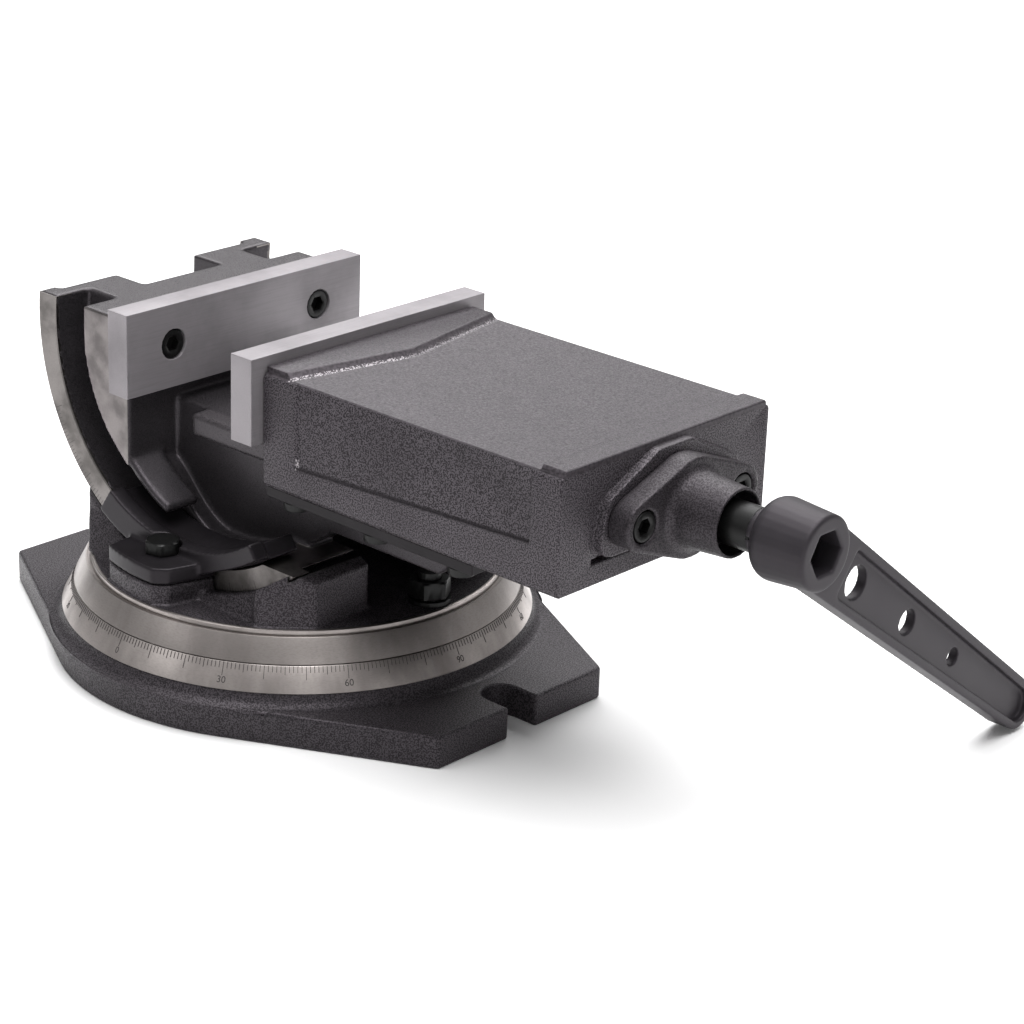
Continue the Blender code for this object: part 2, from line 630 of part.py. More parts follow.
def block_outline(radius, steps):
    """Side view of the jaw block: round behind and below, flat in front under the jaw plate."""
    centre = (0.0, TILT_Z)
    start = level_angles(radius, BODY_TOP, BODY_TOP)[0]
    end = FULL_TURN - math.degrees(math.acos(BLOCK_FRONT_X / radius))
    return arc(radius, start, end, steps, centre) + [(BLOCK_FRONT_X, BODY_TOP)]


def lip_outline(steps):
    """Side view of the lip that runs on below the fixed jaw, flaring towards its free end."""
    outer = []
    inner = []
    for i in range(steps + 1):
        share = i / steps
        angle = LIP_START_ANGLE + (LIP_END_ANGLE - LIP_START_ANGLE) * share
        radius = CHEEK_RADIUS - EMBED + LIP_FLARE * share
        outer.append(polar(radius, angle, (0.0, TILT_Z)))
        inner.append(polar(radius - LIP_THICKNESS, angle, (0.0, TILT_Z)))
    return outer + inner[::-1]


def tilt_body(tilt):
    """Tilting casting: the jaw block, two rails with a tee groove, the web and the bed with its guide flange."""
    centre = (0.0, TILT_Z)
    block = body(prism("tilt_body", "Y", block_outline(CHEEK_RADIUS, 24), -BODY_HALF_WIDTH, BODY_HALF_WIDTH))
    core = prism("core", "Y", block_outline(CORE_RADIUS, 24), -RAIL_IN_Y - EMBED, RAIL_IN_Y + EMBED)
    web_end = level_angles(WEB_RADIUS, BODY_TOP, BED_UNDERSIDE)[1]
    web = arc(WEB_RADIUS, WEB_START_ANGLE, web_end, 20, centre)
    web += arc(BED_END_ROUND, DOWN, FULL_TURN, 5, (BED_END_X - BED_END_ROUND, BED_UNDERSIDE + BED_END_ROUND))
    web += [(BED_END_X, BED_TOP), (web[0][0], BED_TOP)]
    web = prism("web", "Y", web, -WEB_HALF_WIDTH, WEB_HALF_WIDTH)
    flange = rectangle((-FLANGE_BACK, FLANGE_UNDERSIDE), (BED_END_X, BED_TOP))
    flange = prism("flange", "Y", flange, -FLANGE_HALF_WIDTH, FLANGE_HALF_WIDTH)
    join(block, core, web, flange)
    for side in SIDES:
        inner = side * RAIL_IN_Y
        land = side * (BODY_HALF_WIDTH - RAIL_LAND)
        edge = side * BODY_HALF_WIDTH
        neck_edge = side * NECK_HALF_WIDTH
        lip = sorted((side * (NECK_HALF_WIDTH - EMBED), side * (BODY_HALF_WIDTH - EMBED)))
        join(block, prism("neck", "Y", neck_outline(48), min(inner, neck_edge), max(inner, neck_edge)),
             prism("rim", "Y", band(RIM_INNER_RADIUS, RAIL_CAST_RADIUS, 40), min(inner, edge), max(inner, edge)),
             prism("land", "Y", band(RIM_INNER_RADIUS + EMBED, RAIL_RADIUS, 40), min(land, edge), max(land, edge)),
             prism("lip", "Y", lip_outline(8), *lip))
    seat = rectangle((FIXED_BACK_X - GAP, JAW_BOTTOM - GAP), (BLOCK_FRONT_X + OVERRUN, BODY_TOP + OVERRUN))
    cut(block, prism("seat", "Y", seat, -BODY_HALF_WIDTH - OVERRUN, BODY_HALF_WIDTH + OVERRUN))
    hole_end = FIXED_BACK_X - GAP - M6_GRIP - TAP_RESERVE
    for side in SIDES:
        hole = circle(M6_SHANK_RADIUS + RUNNING, SMALL_STEPS, (side * JAW_SCREW_SPREAD / 2, JAW_SCREW_Z))
        cut(block, prism("hole", "X", hole, hole_end, FIXED_BACK_X + OVERRUN))
        tap = circle(M5_SHANK_RADIUS + RUNNING, SMALL_STEPS, (nut_middle(), side * NUT_SCREW_SPREAD / 2))
        cut(block, prism("tap", "Z", tap, BED_TOP - M5_GRIP - TAP_RESERVE, BED_TOP + OVERRUN))
    return carry(block, tilt, "painted_casting")


def jaw_plate(name, axis, back_x, face_x):
    """Ground jaw plate with two counterbored holes, its face towards the other jaw."""
    outward = math.copysign(1.0, face_x - back_x)
    outline = rectangle((-JAW_WIDTH / 2, JAW_BOTTOM), (JAW_WIDTH / 2, JAW_TOP))
    plate = body(prism(name, "X", outline, min(back_x, face_x), max(back_x, face_x)))
    depth = face_x - outward * (HEAD_SINK + M6_HEAD_LENGTH + GAP)
    ends = sorted((depth, face_x + outward * OVERRUN))
    through = sorted((back_x - outward * OVERRUN, face_x))
    for side in SIDES:
        centre = (side * JAW_SCREW_SPREAD / 2, JAW_SCREW_Z)
        head = circle(M6_HEAD_RADIUS + COUNTERBORE_PLAY, SMALL_STEPS, centre)
        shank = circle(M6_SHANK_RADIUS + RUNNING, SMALL_STEPS, centre)
        cut(plate, prism("head", "X", head, *ends), prism("shank", "X", shank, *through))
    return carry(plate, axis, "ground_steel")


def socket_screw(name, axis, centre, top, end, line, sizes, finish="black_oxide"):
    """Socket head screw along a line from the top of its head to the end of its shank."""
    head_radius, head_length, shank_radius, flats, depth = sizes
    inward = math.copysign(1.0, end - top)
    shoulder = top + inward * head_length
    profile = [(0.0, top), (head_radius, top), (head_radius, shoulder), (shank_radius, shoulder),
               (shank_radius, end), (0.0, end)]
    screw = body(turned(name, line, profile, SMALL_STEPS, centre))
    socket = sorted((top - inward * OVERRUN, top + inward * depth))
    cut(screw, prism("socket", line, hexagon(flats, 0.0, centre), *socket))
    return carry(screw, axis, finish)


def jaw_screws(prefix, axis, back_x, face_x):
    """The two screws of one jaw plate."""
    outward = math.copysign(1.0, face_x - back_x)
    top = face_x - outward * HEAD_SINK
    end = back_x - outward * (GAP + M6_GRIP)
    for label, side in (("near", -1.0), ("far", 1.0)):
        centre = (side * JAW_SCREW_SPREAD / 2, JAW_SCREW_Z)
        socket_screw(f"{prefix}_jaw_screw_{label}", axis, centre, top, end, "X", M6)


def recess_bottom():
    """Level of the thrust recess, which holds two washers and the screw's collar."""
    return pad_front() - (WASHER_THICKNESS + GAP) * 2 - COLLAR_LENGTH - GAP


def pad_front():
    """Face of the raised pad on the slide's front wall."""
    return SLIDE_FRONT_X + PAD_RAISE


def slide_casting(way):
    """Jaw slide: a box open below, with the ridge behind the jaw, sunk side panels and the bearing pad."""
    section = rectangle((-SLIDE_HALF_WIDTH, SLIDE_BOTTOM), (SLIDE_HALF_WIDTH, SLIDE_TOP))
    box = body(prism("slide", "X", rounded(section, SLIDE_ROUND, 2), SLIDE_BACK_X, SLIDE_FRONT_X))
    low = SLIDE_TOP - EMBED
    half = SLIDE_HALF_WIDTH - SLIDE_ROUND
    ridge_end = SLIDE_BACK_X + RIDGE_END_LENGTH
    ridge_middle = SLIDE_BACK_X + RIDGE_MIDDLE_LENGTH
    foot = [(SLIDE_BACK_X, -half), (ridge_end, -half), (ridge_middle, 0.0), (ridge_end, half), (SLIDE_BACK_X, half)]
    crest = [(x - (RIDGE_SLOPE if x > SLIDE_BACK_X else 0.0), y) for x, y in foot]
    lip = rounded(rectangle((-half, low), (half, LIP_TOP)), SLIDE_ROUND / 2, 2)
    join(box, loft("ridge", "Z", [(low, foot), (SLIDE_TOP, foot), (RIDGE_TOP, crest)]),
         prism("front_lip", "X", lip, SLIDE_FRONT_X - LIP_LENGTH, SLIDE_FRONT_X))

    pad = [(PAD_HALF_WIDTH, PAD_BOTTOM), (PAD_SHOULDER, PAD_SHOULDER_Z), (PAD_TOP_HALF, PAD_TOP),
           (-PAD_TOP_HALF, PAD_TOP), (-PAD_SHOULDER, PAD_SHOULDER_Z), (-PAD_HALF_WIDTH, PAD_BOTTOM)]
    join(box, prism("pad", "X", rounded(pad, PAD_ROUND, 4), SLIDE_FRONT_X - EMBED, pad_front()))

    channel = rectangle((-FLANGE_HALF_WIDTH - RUNNING, SLIDE_BOTTOM - OVERRUN),
                        (FLANGE_HALF_WIDTH + RUNNING, BED_TOP + RUNNING))
    inner_end = SLIDE_FRONT_X - FRONT_WALL
    cavity = rectangle((-CAVITY_HALF_WIDTH, BED_TOP), (CAVITY_HALF_WIDTH, SLIDE_TOP - TOP_WALL))
    cut(box, prism("channel", "X", channel, SLIDE_BACK_X - OVERRUN, inner_end),
        prism("cavity", "X", rounded(cavity, SLIDE_ROUND, 2), SLIDE_BACK_X + BACK_WALL, inner_end))

    front = SLIDE_FRONT_X - PANEL_END
    back = SLIDE_BACK_X + PANEL_START
    panel = [(back, PANEL_BACK_Z), (front, PANEL_FRONT_Z), (front, SLIDE_TOP + OVERRUN), (back, SLIDE_TOP + OVERRUN)]
    sunk = SLIDE_HALF_WIDTH - PANEL_SINK
    cut(box, prism("panel", "Y", panel, sunk, SLIDE_HALF_WIDTH + OVERRUN),
        prism("panel", "Y", panel, -SLIDE_HALF_WIDTH - OVERRUN, -sunk))

    centre = (0.0, SCREW_Z)
    bore = circle(SCREW_RADIUS + RUNNING, ROUND_STEPS, centre)
    recess = circle(COLLAR_RADIUS + RECESS_PLAY, ROUND_STEPS, centre)
    slot = rectangle((-FRONT_SLOT_HALF, PAD_BOTTOM - FRONT_SLOT_HEIGHT), (FRONT_SLOT_HALF, PAD_BOTTOM))
    cut(box, prism("bore", "X", bore, inner_end - OVERRUN, SLIDE_FRONT_X + OVERRUN),
        prism("recess", "X", recess, recess_bottom(), pad_front() + OVERRUN),
        prism("slot", "X", slot, SLIDE_FRONT_X - FRONT_SLOT_DEPTH, pad_front() + OVERRUN))
    for side in SIDES:
        hole = circle(M6_SHANK_RADIUS + RUNNING, SMALL_STEPS, (side * JAW_SCREW_SPREAD / 2, JAW_SCREW_Z))
        cut(box, prism("hole", "X", hole, SLIDE_BACK_X - OVERRUN, SLIDE_BACK_X + M6_GRIP + TAP_RESERVE / 2))
        hole = circle(M6_SHANK_RADIUS + RUNNING, SMALL_STEPS, (side * CAP_SCREW_SPREAD / 2, SCREW_Z))
        cut(box, prism("hole", "X", hole, cap_screw_end() - TAP_RESERVE, pad_front() + OVERRUN))
        for x in keeper_screw_places():
            hole = circle(M5_SHANK_RADIUS + RUNNING, SMALL_STEPS, (x, side * keeper_screw_y()))
            cut(box, prism("hole", "Z", hole, SLIDE_BOTTOM - OVERRUN, SLIDE_BOTTOM + M5_GRIP + TAP_RESERVE))
    return carry(box, way, "painted_casting")


def keeper_screw_places():
    """Places of the keeper screws along the bed."""
    first = SLIDE_BACK_X + KEEPER_SCREW_INSET
    span = KEEPER_LENGTH - 2 * KEEPER_SCREW_INSET
    return [first + span * i / (KEEPER_SCREWS - 1) for i in range(KEEPER_SCREWS)]


def keeper_screw_y():
    """Distance of the keeper screws from the middle plane."""
    return SLIDE_HALF_WIDTH - KEEPER_INSET - KEEPER_SCREW_OUT


def keepers(way):
    """Strips under the slide's walls that hook below the bed's flange, with their screws."""
    top = SLIDE_BOTTOM - GAP
    low = top - KEEPER_THICKNESS
    for label, side in (("near", -1.0), ("far", 1.0)):
        edges = sorted((side * (WEB_HALF_WIDTH + RUNNING * 2), side * (SLIDE_HALF_WIDTH - KEEPER_INSET)))
        outline = rectangle((SLIDE_BACK_X, edges[0]), (SLIDE_BACK_X + KEEPER_LENGTH, edges[1]))
        strip = body(prism(f"keeper_{label}", "Z", outline, low, top))
        for number, x in enumerate(keeper_screw_places(), 1):
            centre = (x, side * keeper_screw_y())
            hole = circle(M5_SHANK_RADIUS + RUNNING, SMALL_STEPS, centre)
            cut(strip, prism("hole", "Z", hole, low - OVERRUN, top + OVERRUN))
            head = low - GAP - M5_HEAD_LENGTH
            socket_screw(f"keeper_screw_{label}_{number}", way, centre, head, SLIDE_BOTTOM + M5_GRIP, "Z", M5)
        carry(strip, way, "machined_casting")


def nut_middle():
    """Place of the lead nut's middle along the bed."""
    return BED_END_X - NUT_LENGTH / 2


def lead_nut(tilt):
    """Bronze nut block on the end of the bed, arched round the screw, with its two foot screws."""
    foot_top = BED_TOP + GAP + NUT_FOOT_HEIGHT
    arch = arc(NUT_RADIUS, 0.0, HALF_TURN, 12, (0.0, SCREW_Z))
    outline = [(NUT_FOOT_HALF, BED_TOP + GAP), (NUT_FOOT_HALF, foot_top), (NUT_RADIUS, foot_top)]
    outline += arch + [(-NUT_RADIUS, foot_top), (-NUT_FOOT_HALF, foot_top), (-NUT_FOOT_HALF, BED_TOP + GAP)]
    start = BED_END_X - NUT_LENGTH
    nut = body(prism("lead_nut", "X", outline, start, BED_END_X))
    bore = circle(SCREW_RADIUS + RUNNING, ROUND_STEPS, (0.0, SCREW_Z))
    cut(nut, prism("bore", "X", bore, start - OVERRUN, BED_END_X + OVERRUN))
    for label, side in (("near", -1.0), ("far", 1.0)):
        centre = (nut_middle(), side * NUT_SCREW_SPREAD / 2)
        hole = circle(M5_SHANK_RADIUS + RUNNING, SMALL_STEPS, centre)
        cut(nut, prism("hole", "Z", hole, BED_TOP, foot_top + OVERRUN))
        head = foot_top + GAP + M5_HEAD_LENGTH
        socket_screw(f"lead_nut_screw_{label}", tilt, centre, head, BED_TOP - M5_GRIP, "Z", M5)
    return carry(nut, tilt, "bronze")


def cap_back():
    """Back face of the bearing flange."""
    return pad_front() + GAP


def cap_front():
    """Front face of the bearing flange, without its boss."""
    return cap_back() + CAP_THICKNESS


def cap_screw_end():
    """End of the flange screws in the slide's front wall."""
    return cap_back() - GAP - M6_GRIP + PAD_RAISE


def lens_outline(centre_radius, end_radius, spread, steps):
    """Front view of a two-bolt flange: a round middle and two round ends, joined by common tangents."""
    half = spread / 2
    lean = math.degrees(math.asin((centre_radius - end_radius) / half))
    quarter = arc(end_radius, 0.0, QUARTER_TURN - lean, steps, (half, SCREW_Z))
    quarter += arc(centre_radius, QUARTER_TURN - lean, QUARTER_TURN, steps, (0.0, SCREW_Z))
    top = quarter + [(-y, z) for y, z in reversed(quarter[:-1])]
    mirrored = [(y, 2 * SCREW_Z - z) for y, z in reversed(top)]
    return top + mirrored[1:-1]


def bearing_cap(way):
    """Two-bolt flange with a tapered boss that holds the screw's collar against the slide."""
    front = cap_front()
    outline = lens_outline(CAP_CENTRE_RADIUS, CAP_END_RADIUS, CAP_SCREW_SPREAD, 6)
    cap = body(prism("bearing_cap", "X", outline, cap_back(), front))
    rim = front + CAP_BOSS_LENGTH
    foot = CAP_BOSS_RADIUS + CAP_FILLET
    profile = [(0.0, front - EMBED), (foot, front - EMBED)]
    profile += arc(CAP_FILLET, DOWN, HALF_TURN, 5, (foot, front + CAP_FILLET))
    profile += [(CAP_RIM_RADIUS, rim), (0.0, rim)]
    join(cap, turned("boss", "X", profile, ROUND_STEPS, (0.0, SCREW_Z)))
    bore = JOURNAL_RADIUS + RUNNING
    step = rim - CAP_MOUTH_DEPTH
    bored = [(0.0, cap_back() - OVERRUN), (bore, cap_back() - OVERRUN), (bore, step), (CAP_MOUTH_RADIUS, step),
             (CAP_MOUTH_RADIUS, rim + OVERRUN), (0.0, rim + OVERRUN)]
    cut(cap, turned("bored", "X", bored, ROUND_STEPS, (0.0, SCREW_Z)))
    head_bottom = front - HEAD_SINK / 2 - M6_HEAD_LENGTH
    for label, side in (("near", -1.0), ("far", 1.0)):
        centre = (side * CAP_SCREW_SPREAD / 2, SCREW_Z)
        head = circle(M6_HEAD_RADIUS + COUNTERBORE_PLAY, SMALL_STEPS, centre)
        shank = circle(M6_SHANK_RADIUS + RUNNING, SMALL_STEPS, centre)
        cut(cap, prism("head", "X", head, head_bottom - GAP, front + OVERRUN),
            prism("shank", "X", shank, cap_back() - OVERRUN, front))
        socket_screw(f"cap_screw_{label}", way, centre, front - HEAD_SINK / 2, cap_screw_end(), "X", M6)
    return carry(cap, way, "painted_casting")


def lead_screw(spin):
    """Lead screw with its thrust collar, journal and hexagon end, and the two thrust washers."""
    centre = (0.0, SCREW_Z)
    collar_start = recess_bottom() + GAP + WASHER_THICKNESS + GAP
    collar_end = collar_start + COLLAR_LENGTH
    journal_end = HANDLE_BACK_X - HUB_LENGTH - GAP
    profile = [(0.0, SCREW_START_X), (SCREW_RADIUS - SCREW_CHAMFER, SCREW_START_X),
               (SCREW_RADIUS, SCREW_START_X + SCREW_CHAMFER), (SCREW_RADIUS, collar_start),
               (COLLAR_RADIUS, collar_start), (COLLAR_RADIUS, collar_end), (JOURNAL_RADIUS, collar_end),
               (JOURNAL_RADIUS, journal_end), (0.0, journal_end)]
    screw = body(turned("lead_screw", "X", profile, ROUND_STEPS, centre))
    end = hexagon(HEX_FLATS, 0.0, centre)
    join(screw, prism("hex_end", "X", end, journal_end - EMBED, journal_end + HEX_LENGTH))
    carry(screw, spin, "black_oxide")
    washers = (("thrust_washer_inner", recess_bottom() + GAP, SCREW_RADIUS),
               ("thrust_washer_outer", collar_end + GAP, JOURNAL_RADIUS))
    for name, start, shaft in washers:
        end = start + WASHER_THICKNESS
        inner = shaft + RUNNING
        ring = [(inner, start), (COLLAR_RADIUS, start), (COLLAR_RADIUS, end), (inner, end)]
        carry(body(turned(name, "X", ring, ROUND_STEPS, centre)), spin, "bronze")
    return screw


def arm_angle():
    """How far the arm hangs below level, so that its tip clears the surface that the base stands on."""
    drop = SCREW_Z - ARM_TIP_RADIUS - FLOOR_CLEARANCE
    return -math.degrees(math.asin(drop / ARM_LENGTH))


def arm_outline(start, inset, steps):
    """Front view of the arm along +Y: straight tapered sides and a round tip."""
    lean = math.degrees(math.asin((ARM_ROOT_HALF - ARM_TIP_RADIUS) / ARM_LENGTH))
    root = ARM_ROOT_HALF - (ARM_ROOT_HALF - ARM_TIP_RADIUS) * start / ARM_LENGTH - inset
    tip_sweep = QUARTER_TURN - lean
    tip = arc(ARM_TIP_RADIUS - inset, -tip_sweep, tip_sweep, steps, (ARM_LENGTH, SCREW_Z))
    return [(start, SCREW_Z + root), (start, SCREW_Z - root)] + tip


def about_screw(mesh, degrees):
    """Turn a mesh about the screw's axis."""
    centre = Vector((0.0, 0.0, SCREW_Z))
    turn = Matrix.Translation(centre) @ Matrix.Rotation(math.radians(degrees), 4, "X") @ Matrix.Translation(-centre)
    mesh.transform(turn)
    return mesh


def handle(spin):
    """Crank handle: a socket head with a short hub, and a tapered arm of I section with three holes."""
    front = HANDLE_BACK_X + HEAD_LENGTH
    hub_back = HANDLE_BACK_X - HUB_LENGTH
    shoulder = (HEAD_BACK_RADIUS - HEAD_BACK_ROUND, HANDLE_BACK_X + HEAD_BACK_ROUND)
    profile = [(0.0, hub_back), (HUB_RADIUS, hub_back), (HUB_RADIUS, HANDLE_BACK_X)]
    profile += arc(HEAD_BACK_ROUND, DOWN, FULL_TURN, 6, shoulder)
    profile += [(HEAD_FRONT_RADIUS, front - HEAD_ROUND), (HEAD_FRONT_RADIUS - HEAD_ROUND, front), (0.0, front)]
    head = body(turned("handle", "X", profile, ROUND_STEPS, (0.0, SCREW_Z)))
    arm_front = front - ARM_FRONT_SETBACK
    arm_back = arm_front - ARM_THICKNESS
    join(head, about_screw(prism("arm", "X", arm_outline(0.0, 0.0, 10), arm_back, arm_front), arm_angle()))
    pocket = rounded(arm_outline(RECESS_START, ARM_RIB, 10), ARM_RIB / 4, 1)
    front_cut = prism("front_recess", "X", pocket, arm_front - ARM_RECESS, arm_front + OVERRUN)
    back_cut = prism("back_recess", "X", pocket, arm_back - OVERRUN, arm_back + ARM_RECESS)
    cut(head, about_screw(front_cut, arm_angle()), about_screw(back_cut, arm_angle()))
    for radius, share in zip(HANDLE_HOLE_RADII, HANDLE_HOLE_SHARES):
        hole = circle(radius, SMALL_STEPS + 4, (ARM_LENGTH * share, SCREW_Z))
        cut(head, about_screw(prism("hole", "X", hole, arm_back - OVERRUN, arm_front + OVERRUN), arm_angle()))
    socket = hexagon(HEX_FLATS + HEX_PLAY, 0.0, (0.0, SCREW_Z))
    cut(head, prism("socket", "X", socket, hub_back - OVERRUN, front + OVERRUN))
    return carry(head, spin, "handle_paint")


def clamp_plate_outline():
    """Side view of a tilt clamp: a band along the rail's groove, with a foot that sweeps down to the boss."""
    centre = (0.0, TILT_Z)
    drop = TILT_Z - BOSS_TOP - GAP
    left_foot = DOWN - math.degrees(math.acos(drop / CLAMP_OUT_RADIUS))
    outline = arc(CLAMP_OUT_RADIUS, DOWN - CLAMP_LEFT_ANGLE, left_foot, 8, centre)
    foot_radius = math.hypot(BOSS_CORNER_X, drop)
    foot_angle = math.degrees(math.atan2(BOSS_CORNER_X, drop))
    steps = 8
    for i in range(steps + 1):
        share = i / steps
        rise = (foot_radius - CLAMP_RIGHT_RADIUS) * (1.0 - share) ** CLAMP_SWEEP_POWER
        angle = DOWN + foot_angle + (CLAMP_SWEEP_ANGLE - foot_angle) * share
        outline.append(polar(CLAMP_RIGHT_RADIUS + rise, angle, centre))
    outline += arc(CLAMP_RIGHT_RADIUS, DOWN + CLAMP_SWEEP_ANGLE, DOWN + CLAMP_RIGHT_ANGLE, 4, centre)[1:]
    return outline + arc(CLAMP_IN_RADIUS, DOWN + CLAMP_RIGHT_ANGLE, DOWN - CLAMP_LEFT_ANGLE, 20, centre)


def tilt_clamp(label, swivel, turn):
    """Clamp that hooks over a rail's rim: a tongue in the groove, a side plate and a pad under its bolt."""
    plate_in = -BODY_HALF_WIDTH - TONGUE_PLAY
    plate = prism(f"tilt_clamp_{label}", "Y", clamp_plate_outline(), plate_in - CLAMP_PLATE, plate_in)
    clamp = body(plate)
    outer = RIM_INNER_RADIUS - TONGUE_PLAY
    inner = CLAMP_IN_RADIUS + TONGUE_STEP
    angles = (DOWN - CLAMP_LEFT_ANGLE + TONGUE_SETBACK, DOWN + CLAMP_RIGHT_ANGLE - TONGUE_SETBACK)
    tongue = arc(outer, *angles, 16, (0.0, TILT_Z)) + arc(inner, *angles, 16, (0.0, TILT_Z))[::-1]
    pad_low = BOSS_TOP + GAP
    pad_top = pad_low + PAD_THICKNESS
    join(clamp, prism("tongue", "Y", tongue, plate_in - EMBED, plate_in + TONGUE_REACH),
         prism("pad", "Z", boss_outline(EMBED - plate_in), pad_low, pad_top))
    hole = circle(BOLT_RADIUS + RUNNING, SMALL_STEPS, CLAMP_BOLT_PLACE)
    seat = circle(BOLT_FLATS / math.sqrt(3.0) + RUNNING, SMALL_STEPS, CLAMP_BOLT_PLACE)
    cut(clamp, prism("hole", "Z", hole, pad_low - OVERRUN, pad_top + OVERRUN),
        prism("seat", "Z", seat, pad_top, TILT_Z))
    if turn:
        flipped(clamp.data)
    carry(clamp, swivel, "smooth_paint")

    head_low = pad_top + GAP
    shank = circle(BOLT_RADIUS, SMALL_STEPS, CLAMP_BOLT_PLACE)
    bolt = body(prism(f"tilt_clamp_bolt_{label}", "Z", shank, BOSS_TOP - BOLT_GRIP, head_low + EMBED))
    head = hexagon(BOLT_FLATS, BOLT_TURN, CLAMP_BOLT_PLACE)
    join(bolt, prism("head", "Z", head, head_low, head_low + BOLT_HEAD))
    if turn:
        flipped(bolt.data)
    carry(bolt, swivel, "black_oxide")


def swivel_bolt(label, swivel, side):
    """Tee bolt in the base's round slot, with its washer and nut on the turntable."""
    centre = (side * TEE_RADIUS, 0.0)
    head_top = SPLIT_Z - TEE_LIP - GAP
    half = TEE_HEAD_SIDE / 2
    head = rectangle((centre[0] - half, -half), (centre[0] + half, half))
    bolt = body(prism(f"swivel_bolt_{label}", "Z", head, head_top - TEE_HEAD_HEIGHT, head_top))
    washer_low = TABLE_TOP + GAP
    washer_top = washer_low + TEE_WASHER_THICKNESS
    nut_low = washer_top + GAP
    nut_top = nut_low + TEE_NUT_HEIGHT
    stud = circle(TEE_BOLT_RADIUS, SMALL_STEPS, centre)
    join(bolt, prism("stud", "Z", stud, head_top - EMBED, nut_top + TEE_STUD_PROUD))
    carry(bolt, swivel, "black_oxide")
    hole = TEE_BOLT_RADIUS + RUNNING
    ring = [(hole, washer_low), (TEE_WASHER_RADIUS, washer_low), (TEE_WASHER_RADIUS, washer_top), (hole, washer_top)]
    carry(body(turned(f"swivel_washer_{label}", "Z", ring, SMALL_STEPS, centre)), swivel, "black_oxide")
    flats = hexagon(TEE_NUT_FLATS, 0.0, centre)
    nut = body(prism(f"swivel_nut_{label}", "Z", flats, nut_low, nut_top))
    bore = circle(hole, SMALL_STEPS, centre)
    cut(nut, prism("bore", "Z", bore, nut_low - OVERRUN, nut_top + OVERRUN))
    carry(nut, swivel, "black_oxide")


def build():
    """Build the vise, each moving group under the empty of its joint."""
    for thing in list(bpy.data.objects):
        bpy.data.objects.remove(thing)
    swivel = axis_empty("swivel_axis", (0.0, 0.0, SPLIT_Z))
    tilt = axis_empty("tilt_axis", (0.0, 0.0, TILT_Z), swivel)
    way = axis_empty("slide_way", (MOVING_FACE_X, 0.0, SCREW_Z), tilt)
    spin = axis_empty("screw_axis", (recess_bottom(), 0.0, SCREW_Z), way)
    base()
    turntable(swivel)
    tilt_clamp("near", swivel, False)
    tilt_clamp("far", swivel, True)
    swivel_bolt("front", swivel, 1.0)
    swivel_bolt("rear", swivel, -1.0)
    tilt_body(tilt)
    jaw_plate("fixed_jaw_plate", tilt, FIXED_BACK_X, FIXED_FACE_X)
    jaw_screws("fixed", tilt, FIXED_BACK_X, FIXED_FACE_X)
    lead_nut(tilt)
    slide_casting(way)
    jaw_plate("moving_jaw_plate", way, MOVING_BACK_X, MOVING_FACE_X)
    jaw_screws("moving", way, MOVING_BACK_X, MOVING_FACE_X)
    keepers(way)
    bearing_cap(way)
    lead_screw(spin)
    handle(spin)


build()
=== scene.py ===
"""Looks of the tilting vise: enamelled castings, machined and ground faces, a dial, screws and a handle."""
import functools
import logging
import math
from dataclasses import dataclass, field
from enum import Enum
from typing import Any, Callable

import bmesh
import bpy
import numpy as np
from mathutils import Matrix, Vector


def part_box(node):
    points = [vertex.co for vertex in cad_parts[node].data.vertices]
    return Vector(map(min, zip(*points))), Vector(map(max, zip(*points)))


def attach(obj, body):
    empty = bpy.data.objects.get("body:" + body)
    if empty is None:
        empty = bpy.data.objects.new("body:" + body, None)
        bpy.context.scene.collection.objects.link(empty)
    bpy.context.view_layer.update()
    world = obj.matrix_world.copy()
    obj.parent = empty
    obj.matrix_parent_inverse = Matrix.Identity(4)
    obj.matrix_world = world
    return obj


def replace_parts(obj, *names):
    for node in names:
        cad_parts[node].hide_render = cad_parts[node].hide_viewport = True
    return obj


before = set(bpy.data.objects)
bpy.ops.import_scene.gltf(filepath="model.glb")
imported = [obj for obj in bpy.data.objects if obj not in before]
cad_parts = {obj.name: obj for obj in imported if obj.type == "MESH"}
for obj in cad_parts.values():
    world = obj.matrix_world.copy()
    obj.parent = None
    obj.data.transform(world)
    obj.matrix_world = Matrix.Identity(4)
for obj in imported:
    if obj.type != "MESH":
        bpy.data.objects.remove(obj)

MM = 0.001
TURN = 2.0 * math.pi
DEGREES = 360               # marks round the dial
IMAGE_SIZE = 1024           # pixels along a side of the photograph
ORIGIN = (0.0, 0.0, 0.0)
ENDS = ("near", "far")
PAINTED, MACHINED = "painted_casting", "machined_casting"   # material slot names
ROUND_STEPS = 48            # points round a screw or nut
BAND_STEPS = 256            # points round a machined band
RIM_STEPS = 160             # steps along a rim
THREAD_ROWS = 520           # rows of points along the thread
SHARP_DEGREES = 32.0        # edges bent by more stay sharp
CAST_SHARP_DEGREES = 75.0   # the same on resampled castings
BEVEL_SHARP_DEGREES = 20.0  # the same on bevelled pieces
EASED_DEGREES = 35.0        # edges bent by more get a bevel
FLAT_DEGREES = 0.5          # edges bent by less are dissolved before a bevel
PROUD = 0.06 * MM           # how far a machined band stands out of its casting
BEHIND = 0.45 * MM          # how far a casting is drawn in behind a band
BAND_INNER = 70.0 * MM      # inner radius of the bands
PLATE_EDGE = 0.25 * MM      # bevel of the jaw plates
SMALL_SCREW = (2.8 * MM, 2.5 * MM, 3 * MM, 1.5 * MM)    # head, shank, socket flats and socket depth of an M5
OPEN = (-1.0, 1.0)          # a zone's range that leaves nothing out
TINT = (1.0, 0.90, 0.99, 1.0)   # of the paint's clear reflection
NOISE_ROUGHNESS = 0.55      # how much the finer octaves of a noise add
LOG = logging.getLogger("vise")
Value = Any
Triple = tuple[float, float, float]
